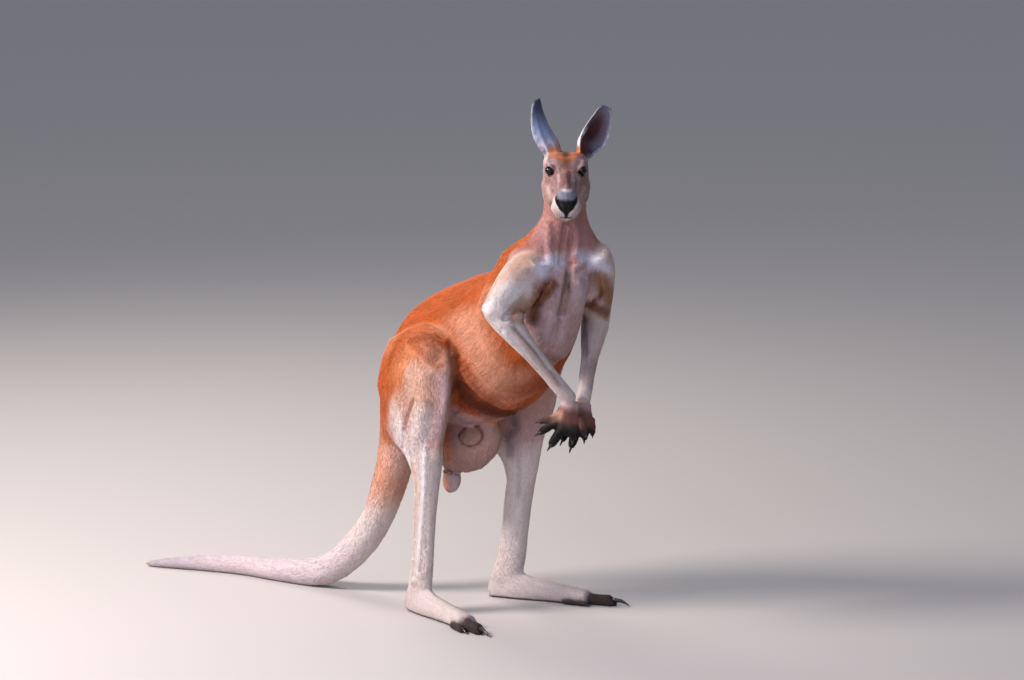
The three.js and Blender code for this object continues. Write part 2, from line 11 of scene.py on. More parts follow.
import json
import logging
import math
from dataclasses import dataclass, field
from enum import Enum

import bpy
import numpy as np
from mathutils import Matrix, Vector
from mathutils.bvhtree import BVHTree

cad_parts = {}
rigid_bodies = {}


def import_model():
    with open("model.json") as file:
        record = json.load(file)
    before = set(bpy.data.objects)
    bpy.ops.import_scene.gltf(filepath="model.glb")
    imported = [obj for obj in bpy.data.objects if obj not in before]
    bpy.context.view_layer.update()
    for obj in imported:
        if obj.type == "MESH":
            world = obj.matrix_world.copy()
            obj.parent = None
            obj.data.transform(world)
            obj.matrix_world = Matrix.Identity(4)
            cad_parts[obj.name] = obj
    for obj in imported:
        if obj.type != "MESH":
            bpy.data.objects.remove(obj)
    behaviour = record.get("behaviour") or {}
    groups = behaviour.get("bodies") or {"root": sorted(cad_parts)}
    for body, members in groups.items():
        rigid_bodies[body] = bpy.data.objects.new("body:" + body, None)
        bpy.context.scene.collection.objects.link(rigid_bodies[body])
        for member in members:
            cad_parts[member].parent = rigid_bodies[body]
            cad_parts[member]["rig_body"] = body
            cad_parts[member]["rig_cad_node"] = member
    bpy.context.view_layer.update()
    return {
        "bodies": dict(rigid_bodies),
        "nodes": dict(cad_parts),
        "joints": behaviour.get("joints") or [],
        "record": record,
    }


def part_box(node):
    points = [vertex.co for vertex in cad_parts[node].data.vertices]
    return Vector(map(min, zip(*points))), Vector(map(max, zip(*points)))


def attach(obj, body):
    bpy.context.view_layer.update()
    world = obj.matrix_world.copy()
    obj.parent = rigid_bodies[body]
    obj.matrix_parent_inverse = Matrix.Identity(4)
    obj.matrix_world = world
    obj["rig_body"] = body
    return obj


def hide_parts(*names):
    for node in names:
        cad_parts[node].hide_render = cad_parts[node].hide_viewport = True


log = logging.getLogger("kangaroo")
MM = 0.001
SEED = 11
Spot = tuple[float, float, float]
Line = tuple[Spot, ...]


# ---- places on the animal ----
def rows(*points: Spot) -> np.ndarray:
    """Points as rows of an array."""
    return np.array(points, float)


def as_line(points: np.ndarray) -> Line:
    """Rows of an array as the spots of a line."""
    return tuple(map(tuple, points))


def unit(vectors: np.ndarray) -> np.ndarray:
    """The same vectors at length one."""
    return vectors / np.maximum(np.linalg.norm(vectors, axis=-1, keepdims=True), 1e-12)


@dataclass(frozen=True)
class HeadAxes:
    """The head's own axes: it is turned towards the animal's right and droops.

    Attributes:
        between_eyes: the middle of the head at the eyes' level, in millimetres.
        heading: degrees turned to the animal's right.
        droop: degrees that the muzzle points below the horizon.
    """

    between_eyes: Spot = (-49.0, -392.0, 1197.0)
    heading: float = 53.0
    droop: float = 25.0

    def matrix(self) -> np.ndarray:
        """Rows that point ahead, up and to the animal's left."""
        turn, dip = math.radians(self.heading), math.radians(-self.droop)
        ahead = (-math.sin(turn) * math.cos(dip), -math.cos(turn) * math.cos(dip), math.sin(dip))
        above = (math.sin(turn) * math.sin(dip), math.cos(turn) * math.sin(dip), math.cos(dip))
        return rows(ahead, above, (math.cos(turn), -math.sin(turn), 0.0))

    def place(self, spots: np.ndarray) -> np.ndarray:
        """Points given as ahead, up and left of the eyes' middle, on the animal's axes.

        Args:
            spots: one point, or rows of them.

        Returns:
            The same points in the animal's millimetres.
        """
        return np.asarray(spots, float) @ self.matrix() + np.array(self.between_eyes)

    def read(self, points: np.ndarray) -> np.ndarray:
        """The reverse of place: ahead, up and left of the eyes' middle."""
        return (points - np.array(self.between_eyes)) @ self.matrix().T


@dataclass(frozen=True)
class LegAxes:
    """A hind leg's own axes from its knee: down the shin, ahead and out.

    Attributes:
        knee: in millimetres.
        ankle: likewise.
        side: 1 for the left leg and -1 for the right.
        heading: degrees that the thigh is turned out.
    """

    knee: Spot
    ankle: Spot
    side: int
    heading: float = 20.0

    def place(self, spots: np.ndarray) -> np.ndarray:
        """Points given as down, ahead and out of the knee, on the animal's axes.

        Args:
            spots: one point, or rows of them.

        Returns:
            The same points in the animal's millimetres.
        """
        turn = math.radians(self.heading)
        down = unit(np.array(self.ankle) - np.array(self.knee))
        ahead = np.array([self.side * math.sin(turn), -math.cos(turn), 0.0])
        ahead = unit(ahead - ahead @ down * down)
        out = np.cross(ahead, down) * self.side
        return np.asarray(spots, float) @ np.stack([down, ahead, out]) + np.array(self.knee)


HEAD = HeadAxes()
LEGS = (LegAxes((-156, -64, 645), (-146, 8, 72), -1), LegAxes((185, -155, 612), (147, -62, 66), 1))
EYE_RADIUS = 14.0


def eye_middle(side: int) -> np.ndarray:
    """The middle of an eyeball, given ahead, up and left; side 0 is midway between the two."""
    return np.array([12.0, 13.0, side * 40.0])


class Region(Enum):
    """A stretch of the body, with the name that its solids start with."""

    HEAD = "head"
    EAR = "ear"
    NECK = "neck"
    CHEST = "chest"
    BELLY = "belly"
    RUMP = "rump"
    GROIN = "groin"
    SCROTUM = "scrotum"
    VENT = "vent"
    THIGH = "thigh"
    SHANK = "shank"
    FOOT = "foot"
    TOE = "toe"
    UPPER_ARM = "upper_arm"
    FOREARM = "forearm"
    HAND = "hand"
    TAIL = "tail"

    @staticmethod
    def of(node: str) -> "Region | None":
        """The region of a node, or None for an eye or a claw."""
        if "claw" in node or node.startswith("eye"):
            return None
        if "toe" in node:
            return Region.TOE
        return next(r for r in Region if node.startswith(r.value))


ORDER = list(Region)
LEG_REGIONS = (Region.THIGH, Region.SHANK, Region.FOOT, Region.TOE)
ARM_REGIONS = (Region.UPPER_ARM, Region.FOREARM, Region.HAND)
TRUNK_REGIONS = (Region.BELLY, Region.RUMP, Region.CHEST, Region.NECK)
REAR_REGIONS = (Region.TAIL, Region.GROIN, Region.SCROTUM, Region.VENT)


class Hue(Enum):
    """The coat's colours, as sRGB hex values."""

    RUST = 0xAF521C
    DEEP_RUST = 0x9A4520
    DARK_RUST = 0x5C240F
    ORANGE = 0xC67848
    TAN = 0xC99A7C
    ROSE = 0xBA9288
    FAWN = 0xA27E78
    MAUVE = 0xBE9E9D
    TAUPE = 0x9F7C6C
    CREAM = 0xD4C5C0
    IVORY = 0xE2D5CE
    BLUSH = 0xB27F76
    PALE = 0xD0BAB1
    LILAC = 0xC9B8C0
    GREY = 0x7D7A86
    SLATE = 0x8490AE
    OCHRE = 0x8F6034
    BROWN = 0x724B40
    UMBER = 0x382B28
    MAROON = 0x462321
    BLACK = 0x0D0B0A
    WHITE = 0xEAE4E6
    DUSK = 0x5D4C66
    RED_SKIN = 0xA85A58
    APRICOT = 0xCF9070
    FROST = 0xDFDAE6
    CHESTNUT = 0x683719
    INK = 0x242838
    PEACH = 0xCFA48F
    PEWTER = 0x93939E


@dataclass(frozen=True)
class Pelt:
    """The coat's colour on one region, and how it lies.

    Attributes:
        base: the colour that its marks lie on.
        depth: from the skin to the coat's tips, in millimetres.
        length: a tuft's length.
        width: a tuft's width.
        lift: how high a tuft's middle stands over the skin.
        fairing: how much of the body's fairing the region gets, from 0 to 1.
        keep: how much of its fine mesh the region keeps, from 0 to 1.
    """

    base: Hue
    depth: float
    length: float
    width: float
    lift: float
    fairing: float
    keep: float = 0.0


PELTS = {
    Region.HEAD: Pelt(Hue.FAWN, 1.2, 5.0, 0.8, 0.5, 0.12, 0.8),
    Region.EAR: Pelt(Hue.SLATE, 0.5, 5.0, 0.7, 0.3, 0.02, 0.6),
    Region.NECK: Pelt(Hue.BLUSH, 2.2, 10.0, 1.3, 0.8, 0.8, 0.1),
    Region.CHEST: Pelt(Hue.MAUVE, 2.4, 11.0, 1.4, 0.9, 0.7, 0.15),
    Region.BELLY: Pelt(Hue.RUST, 3.0, 14.0, 1.6, 1.1, 1.0),
    Region.RUMP: Pelt(Hue.RUST, 3.0, 14.0, 1.6, 1.1, 1.0),
    Region.GROIN: Pelt(Hue.FAWN, 2.0, 9.0, 1.3, 0.8, 0.7, 0.1),
    Region.SCROTUM: Pelt(Hue.TAUPE, 1.2, 5.0, 0.9, 0.5, 0.5, 0.2),
    Region.VENT: Pelt(Hue.ROSE, 1.2, 6.0, 1.0, 0.6, 0.6, 0.2),
    Region.THIGH: Pelt(Hue.ROSE, 2.4, 11.0, 1.5, 0.8, 1.0),
    Region.SHANK: Pelt(Hue.PALE, 1.6, 9.0, 1.3, 0.6, 0.5, 0.1),
    Region.FOOT: Pelt(Hue.CREAM, 1.2, 6.0, 1.0, 0.5, 0.3, 0.2),
    Region.TOE: Pelt(Hue.UMBER, 0.8, 4.5, 0.9, 0.4, 0.15, 0.5),
    Region.UPPER_ARM: Pelt(Hue.PALE, 1.8, 9.0, 1.3, 0.6, 0.6, 0.1),
    Region.FOREARM: Pelt(Hue.CREAM, 1.5, 8.0, 1.2, 0.5, 0.5, 0.2),
    Region.HAND: Pelt(Hue.BROWN, 0.4, 4.0, 0.9, 0.4, 0.1, 0.6),
    Region.TAIL: Pelt(Hue.CREAM, 2.4, 12.0, 1.5, 0.9, 0.9),
}


# ---- small tools ----
def linear(colour: int) -> tuple[float, float, float]:
    """An sRGB hex colour as linear red, green and blue."""
    parts = [((colour >> shift) & 255) / 255 for shift in (16, 8, 0)]
    return tuple(c / 12.92 if c <= 0.04045 else ((c + 0.055) / 1.055) ** 2.4 for c in parts)


def deselect() -> None:
    """Leaves nothing selected."""
    bpy.ops.object.select_all(action="DESELECT")


def choose(*pieces: bpy.types.Object) -> None:
    """Selects these objects alone, the first of them active."""
    deselect()
    for piece in pieces:
        piece.select_set(True)
    bpy.context.view_layer.objects.active = pieces[0]


def apply_modifier(piece: bpy.types.Object, kind: str, **settings: object) -> None:
    """Adds a modifier to a piece and applies it.

    Args:
        piece: the mesh object.
        kind: the modifier's type.
        settings: its properties.
    """
    choose(piece)
    modifier = piece.modifiers.new(kind.title(), kind)
    for name, value in settings.items():
        setattr(modifier, name, value)
    bpy.ops.object.modifier_apply(modifier=modifier.name)


def copies_of(frame: dict, nodes: list[str], swell: float) -> list[bpy.types.Object]:
    """Copies nodes of the frame, each with its own welded mesh and without the frame's marks.

    Args:
        nodes: their names.
        swell: how much each solid is grown, in metres.

    Returns:
        The copies.
    """
    copies = []
    for name in nodes:
        copy = frame["nodes"][name].copy()
        copy.data = copy.data.copy()
        copy.parent = None
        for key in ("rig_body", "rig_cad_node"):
            del copy[key]
        bpy.context.scene.collection.objects.link(copy)
        copies.append(copy)
    for copy in copies:
        apply_modifier(copy, "WELD", merge_threshold=0.00001)
        apply_modifier(copy, "DISPLACE", strength=swell, mid_level=0.0)
    return copies


def joined(parts: list[bpy.types.Object], name: str) -> bpy.types.Object:
    """Joins objects into one of this name, with its place in its mesh and no finish."""
    choose(*parts)
    bpy.ops.object.transform_apply()
    bpy.ops.object.join()
    piece = bpy.context.object
    piece.name = piece.data.name = name
    piece.data.materials.clear()
    return piece


def set_smooth(piece: bpy.types.Object) -> None:
    """Shades all of a piece's faces smooth."""
    piece.data.polygons.foreach_set("use_smooth", np.ones(len(piece.data.polygons), bool))
    piece.data.update()


def read_all(items: bpy.types.bpy_prop_collection, name: str, width: int = 1, kind: type = int) -> np.ndarray:
    """One property of all of a mesh's items.

    Args:
        items: the vertices, edges, loops, faces or normals.
        name: the property.
        width: how many numbers each item has of it.
        kind: int or float.

    Returns:
        One row for each item, or one number where the width is 1.
    """
    flat = np.empty(len(items) * width, kind)
    items.foreach_get(name, flat)
    return flat.reshape(-1, width) if width > 1 else flat


def read_points(mesh: bpy.types.Mesh) -> np.ndarray:
    """A mesh's vertices as rows, in metres."""
    return read_all(mesh.vertices, "co", 3, float)


def read_triangles(mesh: bpy.types.Mesh) -> np.ndarray:
    """The corners of a mesh's triangles as rows."""
    mesh.calc_loop_triangles()
    return read_all(mesh.loop_triangles, "vertices", 3)


def write_points(mesh: bpy.types.Mesh, points: np.ndarray) -> None:
    """Moves a mesh's vertices to these rows, in metres."""
    mesh.vertices.foreach_set("co", points.ravel())
    mesh.update()


def write_colours(mesh: bpy.types.Mesh, colours: np.ndarray) -> None:
    """Gives a mesh the attribute that the fur's colour is read from, one linear colour for each vertex."""
    padded = np.ones((len(mesh.vertices), 4))
    padded[:, :3] = colours
    mesh.color_attributes.new("coat", "FLOAT_COLOR", "POINT").data.foreach_set("color", padded.ravel())


def smoothstep(values: np.ndarray, start: float = 0.0, end: float = 1.0) -> np.ndarray:
    """An even step from 0 to 1 as values go from start to end, which may be the lower of the two."""
    t = np.clip((values - start) / (end - start), 0, 1)
    return t * t * (3 - 2 * t)


def between(table: tuple[tuple[float, float], ...], values: np.ndarray) -> np.ndarray:
    """Reads a table of pairs at these values, straight from pair to pair."""
    return np.interp(values, *zip(*table))


def noise(points: np.ndarray, size: float, seed: int = 0) -> np.ndarray:
    """Smooth noise from -1 to 1 on a lattice.

    Args:
        points: rows of places.
        size: the lattice's spacing, in the same unit.
        seed: picks another pattern.

    Returns:
        One value for each row.
    """
    scaled = points / size + 1000.0
    cell = np.floor(scaled).astype(np.int64)
    t = smoothstep(scaled - cell)
    total = np.zeros(len(points))
    for corner in range(8):
        step = np.array([corner & 1, corner >> 1 & 1, corner >> 2])
        key = (cell + step) @ np.array([73856093, 19349663, 83492791]) + seed * 2654435761
        key = (key ^ (key >> 13)) * 1274126177 & 0x7FFFFFFF
        share = np.prod(np.where(step, t, 1 - t), axis=1)
        total += share * ((key ^ (key >> 16)) % 20011 / 10005.0 - 1)
    return total


def reach_of(points: np.ndarray, line: np.ndarray) -> np.ndarray:
    """How far each point lies from a line through given spots.

    Args:
        points: rows of places.
        line: the spots that the line runs through; one spot alone is allowed.

    Returns:
        The distance of each row.
    """
    if len(line) == 1:
        return np.linalg.norm(points - line[0], axis=1)
    best = np.full(len(points), np.inf)
    for start, end in zip(line, line[1:]):
        way = end - start
        t = np.clip((points - start) @ way / (way @ way), 0, 1)
        best = np.minimum(best, np.linalg.norm(points - start - t[:, None] * way, axis=1))
    return best


@dataclass
class Surface:
    """The skin's points and links, for pushing and smoothing them.

    Attributes:
        piece: the mesh object.
        origin: where the animal's own zero lies in the frame, in metres.
        points: its vertices on the animal's axes, in millimetres.
        links: the two ends of each edge.
        ties: how many neighbours each point has.
    """

    piece: bpy.types.Object
    origin: np.ndarray
    points: np.ndarray = field(init=False)
    links: np.ndarray = field(init=False)
    ties: np.ndarray = field(init=False)

    def __post_init__(self) -> None:
        """Reads the mesh."""
        mesh = self.piece.data
        self.points = (read_points(mesh) - self.origin) / MM
        self.links = read_all(mesh.edges, "vertices", 2)
        self.ties = np.maximum(np.bincount(self.links.ravel(), minlength=len(self.points)), 1)

    def average(self, values: np.ndarray) -> np.ndarray:
        """The mean of each point's neighbours.

        Args:
            values: one row for each point.

        Returns:
            The neighbours' mean, in the same shape.
        """
        a, b = self.links.T
        columns = values.reshape(len(values), -1).T
        summed = [np.bincount(a, c[b], len(values)) + np.bincount(b, c[a], len(values)) for c in columns]
        return (np.stack(summed, 1) / self.ties[:, None]).reshape(values.shape)

    def soften(self, values: np.ndarray, rounds: int, share: np.ndarray | float = 0.5) -> np.ndarray:
        """Values spread over the surface.

        Args:
            values: one row for each point.
            rounds: how many times each point moves towards its neighbours.
            share: how far it moves each time, for all points or for each.

        Returns:
            The softened values.
        """
        step = share if np.isscalar(share) or values.ndim == 1 else share[:, None]
        for _ in range(rounds):
            values = values + step * (self.average(values) - values)
        return values

    def normals(self) -> np.ndarray:
        """The outward direction at each point."""
        self.write()
        return read_all(self.piece.data.vertex_normals, "vector", 3, float)

    def write(self) -> None:
        """Puts the points back in the mesh."""
        write_points(self.piece.data, self.points * MM + self.origin)


# ---- the skin ----
@dataclass(frozen=True)
class Stroke:
    """A line over the body, felt within a reach of it.

    Attributes:
        line: the spots that it runs through, in millimetres on the animal's axes.
        reach: how far it is felt from the line.
    """

    line: Line
    reach: float

    @classmethod
    def on_head(cls, spots: Line, *fields: object) -> "tuple[Stroke, ...]":
        """The same stroke on both sides of the head, or once if it runs down the middle.

        Args:
            spots: its line, given ahead, up and out.
            fields: the stroke's other fields.

        Returns:
            The strokes.
        """
        sides = [1] if all(spot[2] == 0 for spot in spots) else [1, -1]
        return tuple(cls(as_line(HEAD.place([(a, b, s * c) for a, b, c in spots])), *fields) for s in sides)

    @classmethod
    def on_legs(cls, spots: Line, *fields: object) -> "tuple[Stroke, ...]":
        """The same stroke on both hind legs, from spots given down, ahead and out of the knee."""
        return tuple(cls(as_line(leg.place(spots)), *fields) for leg in LEGS)

    def felt(self, points: np.ndarray) -> tuple[np.ndarray, np.ndarray]:
        """Where the stroke may be felt.

        Args:
            points: rows in millimetres.

        Returns:
            Which points are near it, and how far each of those lies from its line.
        """
        line = rows(*self.line)
        near = np.all(points > line.min(0) - self.reach, 1) & np.all(points < line.max(0) + self.reach, 1)
        return near, reach_of(points[near], line)


@dataclass(frozen=True)
class Push(Stroke):
    """A soft push on the skin, out where it is positive and in where it is negative.

    Attributes:
        height: how far it moves the skin, in millimetres.
    """

    height: float

    def moved(self, points: np.ndarray, normals: np.ndarray) -> np.ndarray:
        """The points after the push.

        Args:
            points: the skin's points, in millimetres.
            normals: the outward direction at each.

        Returns:
            The points, moved where the push is felt.
        """
        near, away = self.felt(points)
        moved = points.copy()
        moved[near] += (self.height * smoothstep(1 - away / self.reach))[:, None] * normals[near]
        return moved


# lines that more than one stroke follows
FLANK_FOLD = ((-140, -152, 682), (-131, -182, 642), (-107, -216, 608), (-62, -252, 603))
LEFT_FOREARM = ((69, -367, 753), (28, -398, 696), (-5, -415, 655))
SHIN_GROOVE = ((240, 26, 22), (340, 28, 18), (460, 30, 14))
THROAT = ((-28, -380, 1062), (-34, -384, 1015), (-50, -392, 975))
BODY_PUSHES: tuple[Push, ...] = (
    # the breastbone's groove, the breast muscles beside it and the creases under the arms
    Push(((-48, -400, 958), (-58, -410, 940), (-73, -414, 909), (-78, -411, 870), (-82, -406, 830)),
        15, -10),
    Push(((-86, -404, 830), (-83, -402, 785), (-76, -372, 734)), 13, -4),
    Push(((-116, -388, 905), (-116, -378, 872)), 32, 9),
    Push(((-46, -428, 905), (-40, -426, 868)), 34, 9),
    Push(((-104, -392, 815), (-112, -380, 770)), 30, 4),
    Push(((-118, -384, 922), (-128, -372, 895), (-124, -352, 862)), 13, -11),
    Push(((22, -440, 915), (44, -430, 875), (62, -408, 840)), 16, -12),
    # the throat's groove between the long neck muscles, and the hollow above the breastbone
    Push(((-62, -386, 964), (-42, -378, 1010), (-30, -377, 1055)), 12, -6),
    Push(((-84, -366, 975), (-66, -350, 1018), (-50, -336, 1062)), 16, 5),
    Push(((-30, -408, 968), (-2, -396, 1012), (2, -384, 1060)), 16, 5),
    Push(((-100, -372, 950), (-135, -360, 962)), 18, 6),
    Push(((-45, -420, 950), (-5, -430, 965)), 18, 6),
    Push(((-62, -390, 962),), 16, -5),
    # the shoulder's round muscle, the elbow's point and crease, and the forearm's cords
    Push(((-190, -322, 940), (-215, -310, 905)), 42, 6),
    Push(((-168, -340, 935), (-176, -344, 895)), 14, -4),
    Push(((-136, -366, 890), (-150, -352, 868), (-176, -344, 848), (-200, -350, 834)), 30, 15),
    Push(((-128, -352, 872), (-140, -338, 848), (-172, -338, 822)), 12, -10),
    Push(((-236, -343, 837), (-214, -350, 838)), 10, -5),
    Push(((-256, -306, 848),), 24, 6),
    Push(((-44, -40, 470), (-43, -55, 486), (-36, -74, 496), (-28, -96, 494), (-26, -111, 476),
        (-33, -109, 456), (-47, -95, 444), (-52, -64, 444), (-46, -46, 455), (-44, -40, 470)), 8, -4),
    Push(((-2, 16, 380), (-4, 16, 352)), 34, 15),
    Push(((-6, 20, 330), (-6, 16, 312)), 30, 5),
    Push(((-241, -340, 837), (-225, -345, 851), (-200, -348, 863), (-172, -356, 884)), 13, -9),
    Push(((-219, -356, 818), (-196, -371, 782), (-167, -388, 744), (-145, -407, 701)), 9, -4),
    Push(((-232, -334, 795), (-205, -345, 750), (-170, -375, 700)), 14, 3.5),
    Push(((-196, -345, 790), (-170, -372, 735), (-140, -400, 680)), 10, -3),
    Push(LEFT_FOREARM, 10, -4),
    # the hollow before each thigh and the folds of the flank
    Push(((-165, -112, 735), (-158, -112, 705), (-140, -102, 655), (-122, -92, 600), (-104, -74, 548)),
        17, -16),
    Push(((-142, -124, 688), (-136, -150, 645), (-117, -176, 608), (-88, -198, 580), (-50, -221, 566)),
        22, 6),
    Push(((-132, -119, 626), (-111, -155, 586), (-73, -181, 556), (-24, -200, 546)), 18, -9),
    Push(FLANK_FOLD, 10, -3.5),
    Push(((-141, -126, 672), (-135, -148, 638), (-114, -178, 602), (-76, -212, 580), (-35, -249, 588)),
        10, 3.5),
    Push(((-137, -104, 646), (-127, -122, 609), (-105, -152, 576), (-64, -190, 552), (-18, -223, 558)),
        10, -4),
    Push(((-100, -300, 720), (-60, -325, 690), (-10, -325, 670)), 40, 4),
    Push(((-9, -215, 549), (40, -190, 520), (90, -140, 480), (113, -104, 464)), 16, -8),
    # both thighs: the groove in front of the hamstring, the muscle below it, kneecap and saddle
    *Push.on_legs(((72, -30, 56), (113, -46, 57), (144, -58, 57), (177, -67, 53), (215, -76, 44)), 10, -7),
    *Push.on_legs(((10, -70, 62), (60, -90, 62), (110, -115, 58), (160, -118, 45)), 38, 7),
    *Push.on_legs(((60, 6, 40), (130, -10, 45), (200, -36, 42)), 32, 5),
    *Push.on_legs(((-30, 34, 6),), 34, 7),
    *Push.on_legs(((-112, -104, 36), (-122, -70, 24), (-122, -34, 12), (-112, -4, 2)), 22, -8),
    *Push.on_legs(((-85, -84, 54), (-96, -44, 44), (-94, -10, 30), (-82, 16, 8), (-58, 32, 0)), 20, 5),
    *Push.on_legs(((-60, -70, 58), (-56, -30, 52), (-30, 4, 40)), 22, -4),
    # the shin: its tendon behind, a groove, and the long bone with the muscle beside it
    *Push.on_legs(((215, -42, 40), (300, -24, 26), (400, -22, 22), (500, -24, 20)), 9, -5),
    *Push.on_legs(((190, 8, 30), (300, 12, 26), (430, 12, 22), (520, 14, 20)), 12, 3.5),
    *Push.on_legs(SHIN_GROOVE, 7, -3),
    *Push.on_legs(((562, -2, 26),), 17, 5),
    *Push.on_legs(((548, 36, 16), (560, 44, 0)), 16, -3),
)
FACE_PUSHES: tuple[Push, ...] = (
    # brow, the hollow before the eye, the bridge's flat sides and the cheek
    *Push.on_head(((30, 30, 22), (16, 36, 38), (-8, 32, 50)), 11, 4.0),
    *Push.on_head(((40, 10, 28),), 12, -5.0),
    *Push.on_head(((46, 0, 30), (86, -4, 26)), 13, -5.0),
    *Push.on_head(((40, 24, 0), (88, 14, 0)), 15, 2.5),
    *Push.on_head(((18, -12, 50), (-8, -10, 56)), 9, 3.0),
    *Push.on_head(((6, -34, 56), (30, -40, 48)), 22, 3.0),
    *Push.on_head(((70, -20, 38), (78, -46, 40), (66, -74, 36)), 15, -7.0),
    *Push.on_head(((-40, -6, 50), (-30, 16, 50)), 20, -4.0),
    # muzzle: swollen lips, a broad pad with comma-shaped nostrils, philtrum, mouth and chin
    *Push.on_head(((106, -44, 24), (96, -46, 32)), 17, 4.0),
    *Push.on_head(((119, -14, 0),), 22, 2.0),
    *Push.on_head(((123, -27, 11), (121, -19, 19), (116, -15, 26)), 6.0, -8.0),
    *Push.on_head(((121, -8, 12), (113, -5, 24)), 7, 2.5),
    *Push.on_head(((121, -33, 17),), 7, 2.5),
    *Push.on_head(((127, -36, 0), (126, -58, 0)), 3.5, -3.5),
    *Push.on_head(((126, -61, 0), (118, -63, 13), (106, -62, 23), (90, -58, 31), (72, -60, 36)), 4.0, -4.5),
    *Push.on_head(((114, -78, 0),), 15, 3.0),
)


@dataclass(frozen=True)
class Lids:
    """The lids of an eye: a skin over the ball with an almond opening.

    Attributes:
        thickness: of the lids, in millimetres.
        near: how far from the eyeball the skin is shaped.
        sunk: the radius that the hidden skin behind the opening is drawn in to.
        half_width: half the opening's length, in degrees round the ball.
        half_height: half its height.
        outward: degrees that the eye looks out from straight ahead.
        upward: degrees that it looks above straight ahead.
    """

    thickness: float = 1.9
    near: float = 9.0
    sunk: float = 12.2
    half_width: float = 66.0
    half_height: float = 54.0
    outward: float = 40.0
    upward: float = 8.0

    def axes(self, side: int) -> np.ndarray:
        """Rows that point out of the eye, up and towards its outer corner, on the head's axes."""
        turn, rise = math.radians(self.outward), math.radians(self.upward)
        flat = math.cos(rise)
        look = np.array([math.cos(turn) * flat, math.sin(rise), side * math.sin(turn) * flat])
        up = unit(np.array([0.0, 1.0, 0.0]) - look[1] * look)
        return np.stack([look, up, np.cross(look, up) * side])

    def opening(self, points: np.ndarray, side: int) -> tuple[np.ndarray, np.ndarray]:
        """How far outside the opening each point lies, and how far from the eye's middle.

        Args:
            points: rows in millimetres.
            side: 1 for the left eye and -1 for the right.

        Returns:
            A value that is 1 on the opening's edge, and the distance from the ball's middle.
        """
        local = (HEAD.read(points) - eye_middle(side)) @ self.axes(side).T
        away = np.linalg.norm(local, axis=1)
        look, up, outer = (local / np.maximum(away, 1e-9)[:, None]).T
        across = np.degrees(np.arctan2(outer, look)) / self.half_width
        height = np.degrees(np.arcsin(np.clip(up, -1, 1))) / self.half_height
        return np.abs(across) ** 2.2 + np.abs(height) ** 2.0, away

    def parted(self, points: np.ndarray, side: int) -> np.ndarray:
        """The skin's points with the opening made."""
        edge, away = self.opening(points, side)
        near = away < EYE_RADIUS + self.near
        centre = HEAD.place(eye_middle(side))
        lid = np.maximum(away, EYE_RADIUS + self.thickness)
        target = np.where(edge < 1, self.sunk, lid)
        moved = points.copy()
        moved[near] = (centre + unit(points - centre) * target[:, None])[near]
        return moved


LIDS = Lids()


